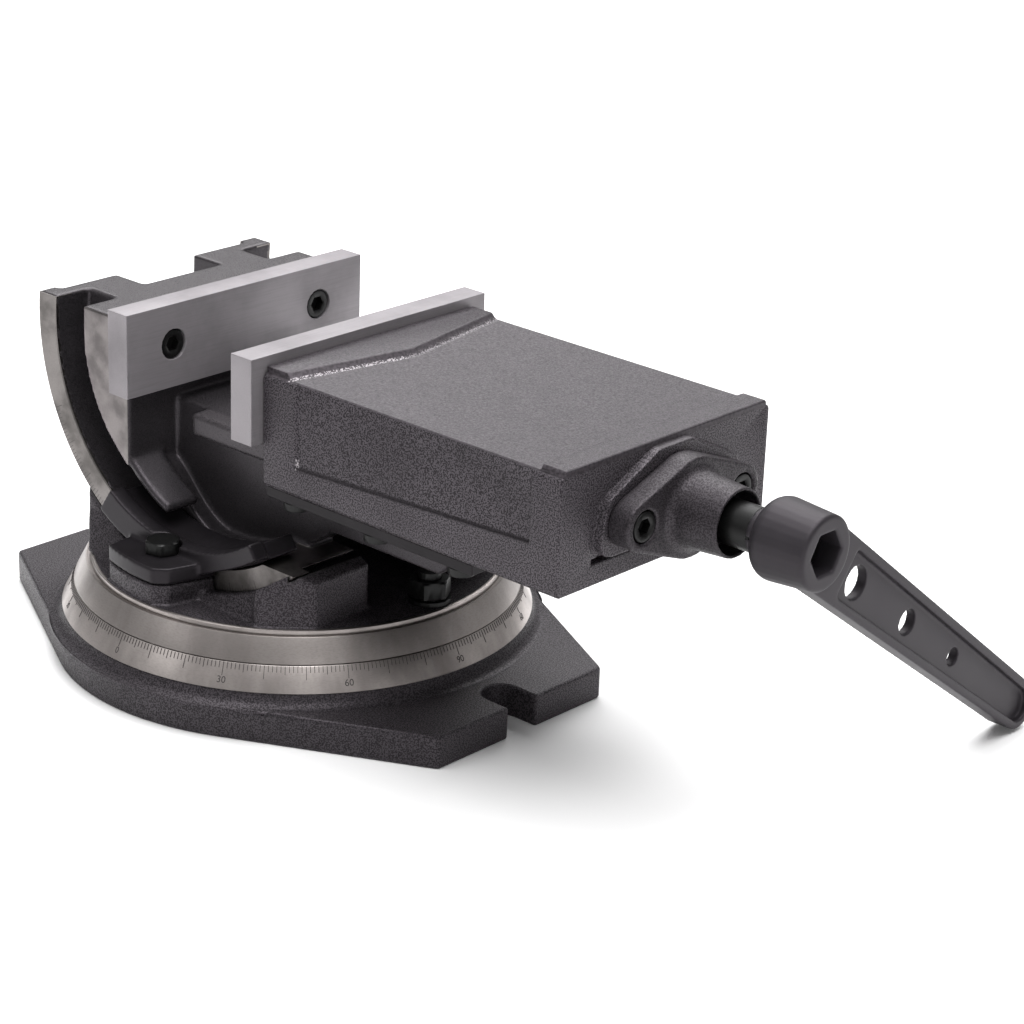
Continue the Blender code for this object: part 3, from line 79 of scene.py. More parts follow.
Rows = list[tuple[Value, float]]
Socket = bpy.types.NodeSocket
Piece = bpy.types.Object


class Axis(Enum):
    """Direction of a turned piece: how far its local (across, up, along) roll round to become x, y, z."""

    X = 1
    Z = 0


class Side(Enum):
    """Which end of a piece's box its head is at."""

    LOW = -1
    HIGH = 1

    def word(self) -> str:
        """Name of the side across the jaws: near is low in y."""
        return ENDS[0] if self is Side.LOW else ENDS[1]


# Finishes


class Recipe:
    """Node tree of one material, with short calls for the patterns that the finishes share."""

    def __init__(self, name: str, colour: Triple, metallic: float, roughness: float,
                 gloss: float = 0.36) -> None:
        """Start a material with constant metallic, roughness and gloss values on its shader.

        Args:
            name: name of the material.
            colour: linear base colour before any pattern.
            metallic: share of metal.
            roughness: roughness before any pattern.
            gloss: level of the clear reflection, which has a faint purple tint on paint.
        """
        self.material = bpy.data.materials.new(name)
        self.material.use_nodes = True
        self.tree = self.material.node_tree
        self.shader = self.tree.nodes["Principled BSDF"]
        self.shader.inputs["Base Color"].default_value = (*colour, 1.0)
        self.shader.inputs["Metallic"].default_value = metallic
        self.shader.inputs["Roughness"].default_value = roughness
        self.shader.inputs["Specular IOR Level"].default_value = gloss
        if metallic == 0.0:
            self.shader.inputs["Specular Tint"].default_value = TINT
        self.place: Socket = self.tree.nodes.new("ShaderNodeTexCoord").outputs["Object"]

    def node(self, kind: str, values: dict[Value, Value], out: int | str = 0, **options: Value) -> Socket:
        """Add a node.

        Args:
            kind: Blender's type name after ShaderNode.
            values: input name or number to a constant or a socket.
            out: name or number of the output wanted.
            options: attributes of the node.

        Returns:
            The node's output socket.
        """
        made = self.tree.nodes.new("ShaderNode" + kind)
        for key, value in options.items():
            setattr(made, key, value)
        for key, value in values.items():
            if isinstance(value, bpy.types.NodeSocket):
                self.tree.links.new(value, made.inputs[key])
            else:
                made.inputs[key].default_value = value
        return made.outputs[out]

    def maths(self, operation: str, first: Value, second: Value = 0.0, third: Value = 0.0) -> Socket:
        """Result of one Math node."""
        return self.node("Math", {0: first, 1: second, 2: third}, operation=operation)

    def grain(self, size: float, detail: float = 2.0, stretch: Triple = (1, 1, 1)) -> Socket:
        """Noise from 0 to 1 with features of about size metres, drawn out where the stretch is small."""
        moved = self.node("Mapping", {"Vector": self.place, "Scale": stretch})
        return self.node("TexNoise", {"Vector": moved, "Scale": 1.0 / size, "Detail": detail,
                                      "Roughness": NOISE_ROUGHNESS})

    def band(self, value: Socket, low: float, high: float) -> Socket:
        """0 below low, 1 above high, with a smooth rise between."""
        return self.node("MapRange", {"Value": value, "From Min": low, "From Max": high},
                         interpolation_type="SMOOTHSTEP")

    def blend(self, share: Value, first: Value, second: Value) -> Socket:
        """Colour that goes from first to second with the share."""
        first, second = [(*c, 1.0) if isinstance(c, tuple) and len(c) == 3 else c for c in (first, second)]
        return self.node("Mix", {0: share, 6: first, 7: second}, 2, data_type="RGBA")

    def between(self, share: Value, first: Value, second: Value) -> Socket:
        """Number that goes from first to second with the share."""
        return self.node("Mix", {0: share, 2: first, 3: second}, 0, data_type="FLOAT")

    def axes(self) -> tuple[Socket, Socket, Socket]:
        """The x, y and z of the place on the piece.

        Returns:
            One socket an axis.
        """
        made = self.tree.nodes.new("ShaderNodeSeparateXYZ")
        self.tree.links.new(self.place, made.inputs[0])
        return made.outputs[0], made.outputs[1], made.outputs[2]

    def radius(self, first: Socket, second: Socket, offset: float) -> Socket:
        """Distance from an axis: root of first squared plus (second less offset) squared."""
        moved = self.maths("SUBTRACT", second, offset)
        return self.maths("SQRT", self.maths("ADD", self.maths("MULTIPLY", first, first),
                                             self.maths("MULTIPLY", moved, moved)))

    def link(self, name: str, value: Socket) -> None:
        """Feed one of the shader's sockets."""
        self.tree.links.new(value, self.shader.inputs[name])

    def bump(self, height: Socket, depth: float, strength: float = 1.0) -> None:
        """Raise the surface by the height, whose 0 to 1 stands for depth metres."""
        self.link("Normal", self.node("Bump", {"Height": height, "Distance": depth, "Strength": strength}))


@dataclass(frozen=True)
class Enamel:
    """Hammertone enamel: fine light and dark cells, with zones of plain satin paint and of bare metal."""

    name: str
    dark: Triple
    light: Triple
    cell: float = 0.5 * MM
    contrast: float = 0.06
    roughness: float = 0.5
    depth: float = 0.05 * MM
    satin: Triple = (0.07, 0.068, 0.07)
    satin_speckle: float = 0.2
    bare: Triple = (0.22, 0.205, 0.2)
    # colour of the painted highlight on edges
    painted_glint: Triple = (0.36, 0.335, 0.35)
    drift_size: float = 26 * MM
    cloud_size: float = 11 * MM
    cloud_tone: float = 0.82
    wear_size: float = 9 * MM
    wear_tone: float = 0.5
    bare_roughness: float = 0.38
    scratch_size: float = 0.6 * MM
    scratch: Triple = (0.10, 0.095, 0.09)
    satin_zones: tuple["Zone", ...] = ()
    metal_zones: tuple["Zone", ...] = ()
    # zones of painted highlight on edges
    painted_glint_zones: tuple["Zone", ...] = ()
    # zones of painted shade along creases
    crease_shade_zones: tuple["Zone", ...] = ()

    def build(self) -> bpy.types.Material:
        """Make the material.

        Returns:
            The material, with its satin and machined zones drawn in.
        """
        recipe = Recipe(self.name, self.dark, 0.0, self.roughness)
        speckle = recipe.grain(self.cell, 1.5)
        cells = recipe.band(speckle, 0.5 - self.contrast, 0.5 + self.contrast)
        drift = recipe.band(recipe.grain(self.drift_size, 3.0), 0.35, 0.75)
        colour = recipe.blend(cells, self.dark, self.light)
        colour = recipe.blend(recipe.maths("MULTIPLY", drift, 0.3), colour, self.dark)
        rough = recipe.between(cells, self.roughness + 0.1, self.roughness - 0.1)
        height = speckle
        if self.satin_zones:
            share = self.widest(recipe, self.satin_zones)
            cloud = recipe.band(recipe.grain(self.cloud_size, 4.0), 0.35, 0.7)
            plain = recipe.blend(cloud, self.satin, tuple(c * self.cloud_tone for c in self.satin))
            coarse = recipe.band(recipe.grain(self.cell * 2.0, 2.0), 0.42, 0.62)
            plain = recipe.blend(recipe.maths("MULTIPLY", coarse, self.satin_speckle), plain, self.dark)
            colour = recipe.blend(share, colour, plain)
            height = recipe.between(share, height, recipe.maths("MULTIPLY", speckle, 0.35))
        if self.metal_zones:
            share = self.widest(recipe, self.metal_zones)
            wear = recipe.band(recipe.grain(self.wear_size, 5.0), 0.35, 0.7)
            line = recipe.grain(self.scratch_size, 2.0, (1.0, 0.06, 1.0))
            metal = recipe.blend(wear, self.bare, tuple(c * self.wear_tone for c in self.bare))
            metal = recipe.blend(recipe.maths("MULTIPLY", line, 0.4), metal, self.scratch)
            colour = recipe.blend(share, colour, metal)
            rough = recipe.between(share, rough, self.bare_roughness)
            height = recipe.between(share, height, recipe.maths("MULTIPLY", line, 0.1))
            recipe.link("Metallic", share)
        # Painted shade: the paint is darkened along the crease zones to stand in for the shade in the crease.
        if self.crease_shade_zones:
            share = recipe.maths("MULTIPLY", self.widest(recipe, self.crease_shade_zones), 0.75)
            colour = recipe.blend(share, colour, self.dark)
        # Painted highlight: a lighter colour in sparse spots inside the highlight zones stands in for glints
        # of light on edges.
        if self.painted_glint_zones:
            spark = recipe.band(recipe.grain(self.cell * 1.3, 1.0), 0.48, 0.6)
            share = recipe.maths("MULTIPLY", self.widest(recipe, self.painted_glint_zones), spark)
            colour = recipe.blend(share, colour, self.painted_glint)
        recipe.link("Base Color", colour)
        recipe.link("Roughness", rough)
        recipe.bump(height, self.depth, 0.7)
        return recipe.material

    def widest(self, recipe: Recipe, zones: tuple["Zone", ...]) -> Socket:
        """Largest share of several zones.

        Args:
            recipe: material being made.
            zones: the zones.

        Returns:
            Socket with the share.
        """
        places = recipe.axes()
        shares = [zone.share(recipe, *places) for zone in zones]
        return functools.reduce(lambda first, second: recipe.maths("MAXIMUM", first, second), shares)


@dataclass(frozen=True)
class Zone:
    """Part of a casting: a range of one measure, inside ranges of x, of y, of |y| and of z.

    The measure is height, across, tilt_radius or line, which is the weighted sum of x, |y| and z.
    """

    measure: str
    low: float
    high: float
    x: tuple[float, float] = OPEN
    y: tuple[float, float] = OPEN
    width: tuple[float, float] = OPEN
    axis_height: float = 113 * MM
    soft: float = 0.15 * MM
    weights: Triple = (0.0, 0.0, 0.0)
    level: tuple[float, float] = OPEN

    def share(self, recipe: Recipe, x: Socket, y: Socket, z: Socket) -> Socket:
        """1 inside the zone and 0 outside it.

        Args:
            recipe: material being made.
            x: place along the bed.
            y: place across the jaws.
            z: height.

        Returns:
            Socket with the share.
        """
        across = recipe.maths("ABSOLUTE", y)
        if self.measure == "line":
            first, second, third = [recipe.maths("MULTIPLY", place, weight)
                                    for place, weight in zip((x, across, z), self.weights)]
            found = recipe.maths("ADD", recipe.maths("ADD", first, second), third)
        elif self.measure == "tilt_radius":
            found = recipe.radius(x, z, self.axis_height)
        else:
            found = z if self.measure == "height" else across
        share = self.inside(recipe, found, self.low, self.high)
        for value, limits in ((x, self.x), (y, self.y), (across, self.width), (z, self.level)):
            if limits != OPEN:
                share = recipe.maths("MULTIPLY", share, self.inside(recipe, value, *limits))
        return share

    def inside(self, recipe: Recipe, value: Socket, low: float, high: float) -> Socket:
        """1 where the value lies between low and high, with a soft border."""
        above = recipe.band(value, high - self.soft, high + self.soft)
        return recipe.maths("MULTIPLY", recipe.band(value, low - self.soft, low + self.soft),
                            recipe.maths("SUBTRACT", 1.0, above))


@dataclass(frozen=True)
class Metal:
    """Bare or blackened metal with tool lines along one direction and slow patches of tone."""

    name: str
    colour: Triple
    patch: Triple
    roughness: float = 0.3
    metallic: float = 1.0
    patch_size: float = 14 * MM
    line_size: float = 0.5 * MM
    stretch: Triple = (1.0, 0.05, 1.0)
    patch_stretch: Triple = (1.0, 1.0, 1.0)
    line_strength: float = 0.25
    line_tone: float = 0.45
    depth: float = 0.01 * MM

    def build(self) -> bpy.types.Material:
        """Make the material.

        Returns:
            The material.
        """
        recipe = Recipe(self.name, self.colour, self.metallic, self.roughness)
        slow = recipe.grain(self.patch_size, 5.0, self.patch_stretch)
        line = recipe.grain(self.line_size, 2.0, self.stretch)
        colour = recipe.blend(recipe.band(slow, 0.38, 0.68), self.colour, self.patch)
        dark = tuple(c * self.line_tone for c in self.colour)
        scored = recipe.maths("MULTIPLY", recipe.band(line, 0.4, 0.75), self.line_strength)
        colour = recipe.blend(scored, colour, dark)
        recipe.link("Base Color", colour)
        rough = recipe.between(recipe.band(slow, 0.3, 0.7), self.roughness * 0.85, self.roughness * 1.25)
        recipe.link("Roughness", rough)
        recipe.bump(line, self.depth, 0.6)
        return recipe.material


@dataclass(frozen=True)
class SmoothPaint:
    """Smooth enamel with a faint orange peel and slow changes of tone."""

    name: str
    colour: Triple
    roughness: float = 0.45
    gloss: float = 0.36
    peel: float = 0.9 * MM
    depth: float = 0.02 * MM
    drift_size: float = 18 * MM
    drift_tone: float = 1.45
    pit: Triple = (0.01, 0.01, 0.01)

    def build(self) -> bpy.types.Material:
        """Make the material.

        Returns:
            The material.
        """
        recipe = Recipe(self.name, self.colour, 0.0, self.roughness, self.gloss)
        slow = recipe.grain(self.drift_size, 4.0)
        peel = recipe.grain(self.peel, 2.0)
        lighter = tuple(c * self.drift_tone for c in self.colour)
        colour = recipe.blend(recipe.band(slow, 0.35, 0.7), self.colour, lighter)
        pits = recipe.maths("MULTIPLY", peel, 0.25)
        recipe.link("Base Color", recipe.blend(pits, colour, self.pit))
        recipe.link("Roughness", recipe.between(slow, self.roughness - 0.06, self.roughness + 0.1))
        recipe.bump(peel, self.depth, 0.7)
        return recipe.material


class Finish(Enum):
    """The finishes of the vise.

    Their zones, in order. TABLE: satin seat of the saddle. BODY: satin top and sides of the bed, bare lower
    ends of the rims, rims' outer lands and cheeks of the fixed jaw. SLIDE: satin top, painted highlights
    below the ridge in two parts and at the side panel's corner, and painted shade along that panel's lower
    edge.
    """

    BASE = Enamel("base_enamel", (0.0018, 0.0015, 0.0018), (0.0427, 0.0381, 0.0427))
    TABLE = Enamel("turntable_enamel", (0.0015, 0.0012, 0.0015), (0.0415, 0.0368, 0.0415),
                   satin=(0.030, 0.029, 0.029),
                   satin_zones=(Zone("tilt_radius", 78.4 * MM, 79.4 * MM, width=(0.0, 51.3 * MM)),))
    BODY = Enamel("tilting_enamel", (0.0070, 0.0063, 0.0070), (0.036, 0.033, 0.036), contrast=0.16,
                  roughness=0.36, depth=0.04 * MM, satin=(0.0387, 0.0352, 0.0378), satin_speckle=0.35,
                  satin_zones=(Zone("height", 120.5 * MM, 130 * MM),
                               Zone("height", 80.5 * MM, 89.5 * MM, width=(28.9 * MM, 37 * MM),
                                    x=(-17 * MM, 110 * MM))),
                  metal_zones=(Zone("height", 50 * MM, 53.35 * MM, x=(30 * MM, 60 * MM)),
                               Zone("tilt_radius", 78.2 * MM, 80 * MM, width=(43.4 * MM, 52 * MM)),
                               Zone("across", 50.2 * MM, 52 * MM, x=(-60 * MM, -32.2 * MM))))
    SLIDE = Enamel("slide_enamel", (0.0025, 0.0021, 0.0025), (0.070, 0.0625, 0.070), roughness=0.46,
                   satin=(0.0375, 0.0325, 0.0372), satin_speckle=0.7,
                   satin_zones=(Zone("height", 119.3 * MM, 1.0),),
                   # painted highlights: below the ridge in two parts, and at the side panel's corner
                   painted_glint_zones=(Zone("line", 55.0 * MM, 56.7 * MM, weights=(1.0, 0.186, 0.0),
                                     level=(119.2 * MM, 121.0 * MM), y=(-60 * MM, -4 * MM)),
                                Zone("line", 55.4 * MM, 56.1 * MM, weights=(1.0, 0.186, 0.0),
                                     level=(118.8 * MM, 121.4 * MM), y=(-4 * MM, 60 * MM), soft=1.2 * MM),
                                Zone("across", 49.0 * MM, 51 * MM, x=(50.0 * MM, 51.2 * MM),
                                     level=(90.5 * MM, 94.0 * MM))),
                   # painted shade along the side panel's lower edge
                   crease_shade_zones=(Zone("line", -89.1 * MM, -87.8 * MM, x=(50.7 * MM, 151.8 * MM),
                                      weights=(0.0493, 0.0, -1.0), soft=0.5 * MM),))
    CAP = Enamel("flange_enamel", (0.0031, 0.0026, 0.0031), (0.0295, 0.0262, 0.0295), contrast=0.1)
    CLAMP = SmoothPaint("clamp_enamel", (0.0078, 0.0068, 0.0080), 0.36, 0.22)
    HANDLE = SmoothPaint("handle_enamel", (0.0126, 0.0113, 0.0134), 0.5)
    DIAL = Metal("dial_metal", (0.495, 0.451, 0.432), (0.265, 0.24, 0.23), 0.34, patch_size=26 * MM,
                 patch_stretch=(1.0, 1.0, 0.06), stretch=(0.3, 0.3, 1.0), line_size=0.35 * MM)
    BAND = Metal("band_metal", (0.375, 0.342, 0.328), (0.24, 0.218, 0.209), 0.34, patch_size=26 * MM,
                 patch_stretch=(1.0, 1.0, 0.06), stretch=(0.3, 0.3, 1.0), line_size=0.35 * MM)
    RAIL = Metal("rail_metal", (0.19, 0.176, 0.17), (0.10, 0.092, 0.088), 0.38, patch_size=12 * MM)
    GROUND = Metal("ground_metal", (0.262, 0.245, 0.258), (0.215, 0.201, 0.212), 0.5, 0.5, patch_size=30 * MM,
                   line_size=0.4 * MM, stretch=(1.0, 0.03, 1.0), line_strength=0.16)
    BLACK = Metal("black_oxide", (0.0085, 0.0078, 0.0086), (0.014, 0.0129, 0.0142), 0.36, 0.5,
                  patch_size=6 * MM, stretch=(1.0, 1.0, 1.0))
    STRIP = Metal("keeper_metal", (0.0155, 0.0138, 0.0153), (0.026, 0.0235, 0.0257), 0.42, 0.8,
                  stretch=(0.05, 1.0, 1.0))
    BRONZE = Metal("bearing_bronze", (0.38, 0.23, 0.095), (0.28, 0.17, 0.07), 0.36)
    INK = SmoothPaint("engraved_lines", (0.045, 0.041, 0.040), 0.7)

    def material(self) -> bpy.types.Material:
        """The finish's material, made on first use."""
        return bpy.data.materials.get(self.value.name) or self.value.build()


# Meshes


@dataclass(frozen=True)
class Skin:
    """What a piece is made of, the moving body that it rides on and the name of its material slot."""

    finish: Finish
    body: str
    slot: str


def grid_quads(rows: int, columns: int, wrap_rows: bool) -> np.ndarray:
    """Faces of a grid whose columns close on themselves.

    Face (i, j) joins points (i, j), (i, j + 1), (i + 1, j + 1) and (i + 1, j), counted modulo the columns,
    and modulo the rows too where they wrap.

    Args:
        rows: number of rows of points.
        columns: number of points in a row.
        wrap_rows: whether the last row joins the first.

    Returns:
        Array of four point numbers a face.
    """
    i = np.arange(rows if wrap_rows else rows - 1)[:, None]
    j = np.arange(columns)[None, :]
    following = (i + 1) % rows
    beside = (j + 1) % columns
    corners = [i * columns + j, i * columns + beside, following * columns + beside, following * columns + j]
    return np.stack(np.broadcast_arrays(*corners), axis=-1).reshape(-1, 4)


def make_piece(name: str, points: np.ndarray, faces: list[list[int]], skin: Skin) -> Piece:
    """Turn points and faces into a closed piece that rides on a body.

    Args:
        name: name of the piece.
        points: one row of x, y, z a point.
        faces: point numbers of each face.
        skin: its finish, body and slot.

    Returns:
        The new object.
    """
    mesh = bpy.data.meshes.new(name)
    mesh.from_pydata(points.reshape(-1, 3).tolist(), [], faces)
    return dress(bpy.data.objects.new(name, welded(mesh)), skin)


def dress(piece: Piece, skin: Skin, sharp: float = SHARP_DEGREES) -> Piece:
    """Link a piece, shade it smooth, and give it its finish and its body.

    Args:
        piece: object to dress.
        skin: its finish, body and slot.
        sharp: edges bent by more than this many degrees stay sharp.

    Returns:
        The same object.
    """
    if piece.name not in bpy.context.scene.collection.objects:
        bpy.context.scene.collection.objects.link(piece)
    piece.data.materials.clear()
    piece.data.materials.append(skin.finish.material())
    piece.data.shade_smooth()
    piece.data.set_sharp_from_angle(angle=math.radians(sharp))
    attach(piece, skin.body)
    LOG.info("%s: %d faces on %s", piece.name, len(piece.data.polygons), skin.body)
    return piece


def turned(name: str, rows: Rows, axis: Axis, centre: Triple, skin: Skin, steps: int = ROUND_STEPS,
           ring: bool = False) -> Piece:
    """Solid of revolution whose radius may change with the angle.

    Point (i, j) lies at angle 2 pi j / steps, at the radius and level of row i. A radius may be one number,
    or one for every angle, as a hexagon's is.

    Args:
        name: name of the piece.
        rows: (radius or radii, level) from one end to the other.
        axis: direction of the levels.
        centre: point that levels and radii are counted from.
        skin: its finish, body and slot.
        steps: points round the axis.
        ring: whether the last row joins the first, as on a washer.

    Returns:
        The new object.
    """
    angle = np.arange(steps) * TURN / steps
    radii = np.array([np.broadcast_to(np.asarray(r, float), steps) for r, _ in rows])
    levels = np.array([level for _, level in rows])[:, None]
    points = np.stack([radii * np.cos(angle), radii * np.sin(angle), np.broadcast_to(levels, radii.shape)],
                      axis=-1)
    faces = grid_quads(len(rows), steps, ring).tolist()
    if not ring:
        faces += [list(range(steps)), list(range((len(rows) - 1) * steps, len(rows) * steps))]
    return make_piece(name, np.roll(points, axis.value, axis=-1) + np.asarray(centre), faces, skin)


def hexagon(flats: float, steps: int = ROUND_STEPS, turn: float = 0.0) -> np.ndarray:
    """Radius of a hexagon at each angle: half the flats over the cosine of the angle from a flat's middle."""
    angle = (np.arange(steps) * TURN / steps + turn) % (TURN / 6.0) - TURN / 12.0
    return flats / 2.0 / np.cos(angle)


def swept_arc(name: str, profile: list[tuple[float, float]], starts: np.ndarray, ends: np.ndarray, steps: int,
              height: float, skin: Skin) -> Piece:
    """Closed profile of (radius, y) carried round the tilt axis, each corner from its own start to its end.

    Point (i, j) is profile corner j at the share i / steps of its own arc, at x = radius cos angle and
    z = height + radius sin angle.

    Args:
        name: name of the piece.
        profile: corners of the profile.
        starts: start angle of each corner, in degrees.
        ends: end angle of each corner, in degrees.
        steps: steps along the arc.
        height: height of the tilt axis.
        skin: its finish, body and slot.

    Returns:
        The new object.
    """
    share = np.linspace(0.0, 1.0, steps + 1)[:, None]
    angle = np.radians(starts + (ends - starts) * share)
    radius = np.array([r for r, _ in profile])
    across = np.broadcast_to(np.array([y for _, y in profile]), angle.shape)
    points = np.stack([radius * np.cos(angle), across, height + radius * np.sin(angle)], axis=-1)
    count = len(profile)
    faces = grid_quads(steps + 1, count, False).tolist()
    faces += [list(range(count)), list(range(steps * count, (steps + 1) * count))]
    return make_piece(name, points, faces, skin)


def boxes(name: str, centres: np.ndarray, along: np.ndarray, across: np.ndarray, out: np.ndarray,
          sizes: np.ndarray, skin: Skin) -> Piece:
    """Many small oriented bars as one mesh, such as graduations.

    Corner k of bar i is its centre plus or minus half its three sizes along its three directions.

    Args:
        name: name of the piece.
        centres: centre of each bar.
        along: unit direction of each bar's length.
        across: unit direction of its width.
        out: unit direction of its thickness.
        sizes: length, width and thickness of each bar.
        skin: its finish, body and slot.

    Returns:
        The new object.
    """
    signs = np.array([[a, b, c] for a in (-1, 1) for b in (-1, 1) for c in (-1, 1)]) / 2.0
    frames = np.stack([along, across, out], axis=1)
    points = centres[:, None, :] + np.einsum("kd,nd,ndc->nkc", signs, sizes, frames)
    pattern = np.array([[0, 1, 3, 2], [4, 6, 7, 5], [0, 4, 5, 1], [2, 3, 7, 6], [0, 2, 6, 4], [1, 5, 7, 3]])
    faces = (np.arange(len(centres))[:, None, None] * 8 + pattern[None]).reshape(-1, 4)
    return make_piece(name, points, faces.tolist(), skin)


Rule = Callable[[np.ndarray], np.ndarray]


def reshape(mesh: bpy.types.Mesh, rule: Rule) -> None:
    """Move every point of a mesh by a rule on the array of their places.

    Args:
        mesh: mesh to change.
        rule: takes one row of x, y, z a point and returns the new rows.
    """
    flat = np.empty(len(mesh.vertices) * 3)
    mesh.vertices.foreach_get("co", flat)
    mesh.vertices.foreach_set("co", rule(flat.reshape(-1, 3)).ravel())
    mesh.update()


def welded(mesh: bpy.types.Mesh, flat_angle: float = 0.0) -> bpy.types.Mesh:
    """Merge a mesh's doubled points and turn its faces out.

    Args:
        mesh: mesh to change.
        flat_angle: edges bent by less than this many degrees are dissolved.

    Returns:
        The same mesh.
    """
    sheet = bmesh.new()
    sheet.from_mesh(mesh)
    bmesh.ops.remove_doubles(sheet, verts=sheet.verts, dist=1e-6)
    if flat_angle:
        bmesh.ops.dissolve_limit(sheet, angle_limit=math.radians(flat_angle), verts=sheet.verts,
                                 edges=sheet.edges)
    bmesh.ops.recalc_face_normals(sheet, faces=sheet.faces)
    sheet.to_mesh(mesh)
    sheet.free()
    return mesh


def evaluated(piece: Piece) -> bpy.types.Mesh:
    """Mesh of a piece with its modifiers applied."""
    view = bpy.context.evaluated_depsgraph_get()
    return bpy.data.meshes.new_from_object(piece.evaluated_get(view))


def copied(node: str, name: str, flat_angle: float = 0.0) -> Piece:
    """Welded copy of a CAD node, linked to the scene.

    Args:
        node: CAD node to copy.
        name: name of the copy.
        flat_angle: edges bent by less than this many degrees are dissolved.

    Returns:
        The copy.
    """
    piece = bpy.data.objects.new(name, welded(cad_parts[node].data.copy(), flat_angle))
    bpy.context.scene.collection.objects.link(piece)
    return piece


def settled(piece: Piece, node: str, skin: Skin, sharp: float, rule: Rule | None) -> Piece:
    """Apply a copy's modifiers and its rule, let it stand for its CAD node, and dress it.

    Args:
        piece: the copy.
        node: CAD node that it stands for.
        skin: its finish, body and slot.
        sharp: edges bent by more than this many degrees stay sharp.
        rule: moves the points behind machined bands, if any.

    Returns:
        The same object.
    """
    piece.data = evaluated(piece)
    piece.modifiers.clear()
    if rule:
        reshape(piece.data, rule)
    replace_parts(piece, node)
    return dress(piece, skin, sharp)


def refined(node: str, name: str, skin: Skin, voxel: float, passes: int, rule: Rule | None = None) -> Piece:
    """Copy of a CAD casting with its edges and corners rounded as a mould rounds them.

    The copy's loose triangles are welded, the shape is resampled on cubes of the voxel's size, and each point
    is then moved towards the mean of its neighbours, a few times over.

    Args:
        node: CAD node that the piece stands for.
        name: name of the piece.
        skin: its finish, body and slot.
        voxel: size of the cubes.
        passes: how many times the points are smoothed.
        rule: moves the points behind machined bands, if any.

    Returns:
        The new object.
    """
    piece = copied(node, name)
    cubes = piece.modifiers.new("Resample", "REMESH")
    cubes.mode = "VOXEL"
    cubes.voxel_size = voxel
    soft = piece.modifiers.new("Soften", "SMOOTH")
    soft.factor = 0.5
    soft.iterations = passes
    return settled(piece, node, skin, CAST_SHARP_DEGREES, rule)


def eased(node: str, name: str, skin: Skin, width: float, sharp: float = EASED_DEGREES,
          rule: Rule | None = None) -> Piece:
    """Copy of a crisp CAD piece whose sharp edges get a small two-step bevel.

    Args:
        node: CAD node that the piece stands for.
        name: name of the piece.
        skin: its finish, body and slot.
        width: width of the bevel.
        sharp: edges bent by more than this many degrees are bevelled.
        rule: moves the points behind machined bands, if any.

    Returns:
        The new object.
    """
    piece = copied(node, name, FLAT_DEGREES)
    piece.data.shade_smooth()
    bevel = piece.modifiers.new("Ease", "BEVEL")
    bevel.width = width
    bevel.segments = 2
    bevel.limit_method = "ANGLE"
    bevel.angle_limit = math.radians(sharp)
    bevel.use_clamp_overlap = False
    return settled(piece, node, skin, BEVEL_SHARP_DEGREES, rule)


# Fasteners


def turned_black(name: str, node: str, rows: Rows, axis: Axis, centre: Value, body: str,
                 ring: bool = False) -> None:
    """Turn a black oxide piece, as turned does, and let it stand for its CAD node."""
    skin = Skin(Finish.BLACK, body, "black_oxide")
    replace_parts(turned(name, rows, axis, tuple(centre), skin, ring=ring), node)


@dataclass
class SocketScrew:
    """Socket head screw drawn round a CAD screw's own box, an M6 one where no other size is given."""

    node: str
    axis: Axis
    head_at: Side
    body: str
    head_length: float = 6 * MM
    shank_radius: float = 3 * MM
    socket_flats: float = 5 * MM
    socket_depth: float = 3 * MM
    rim: float = 0.45 * MM
    under_ease: tuple[float, float] = (0.15 * MM, 0.2 * MM)
    socket_ease: tuple[float, float] = (0.25 * MM, 0.3 * MM)
    drill_point: tuple[float, float] = (0.1 * MM, 0.5 * MM)

    def build(self) -> None:
        """Make the screw: a chamfered head with a hexagon socket, and its shank."""
        low, high = (np.array(corner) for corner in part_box(self.node))
        along = (self.axis.value + 2) % 3
        centre = (low + high) / 2.0
        length = high[along] - low[along]
        others = [k for k in range(3) if k != along]
        head = (high - low)[others].max() / 2.0
        centre[along] = low[along] if self.head_at is Side.HIGH else high[along]
        way = float(self.head_at.value)
        socket = hexagon(self.socket_flats)
        under = length - self.head_length
        bottom = length - self.socket_depth
        (under_in, under_up), (mouth_out, mouth_down) = self.under_ease, self.socket_ease
        point_radius, point_depth = self.drill_point
        rows = [(self.shank_radius * 0.75, 0.0), (self.shank_radius, self.shank_radius * 0.3),
                (self.shank_radius, under), (head - under_in, under), (head, under + under_up),
                (head, length - self.rim), (head - self.rim * 0.5, length - self.rim * 0.13),
                (head - self.rim, length), (self.socket_flats * 0.6 + mouth_out, length),
                (socket, length - mouth_down), (socket, bottom), (point_radius, bottom - point_depth)]
        rows = [(r, way * s) for r, s in rows]
        turned_black(self.node + "_fine", self.node, rows, self.axis, centre, self.body)


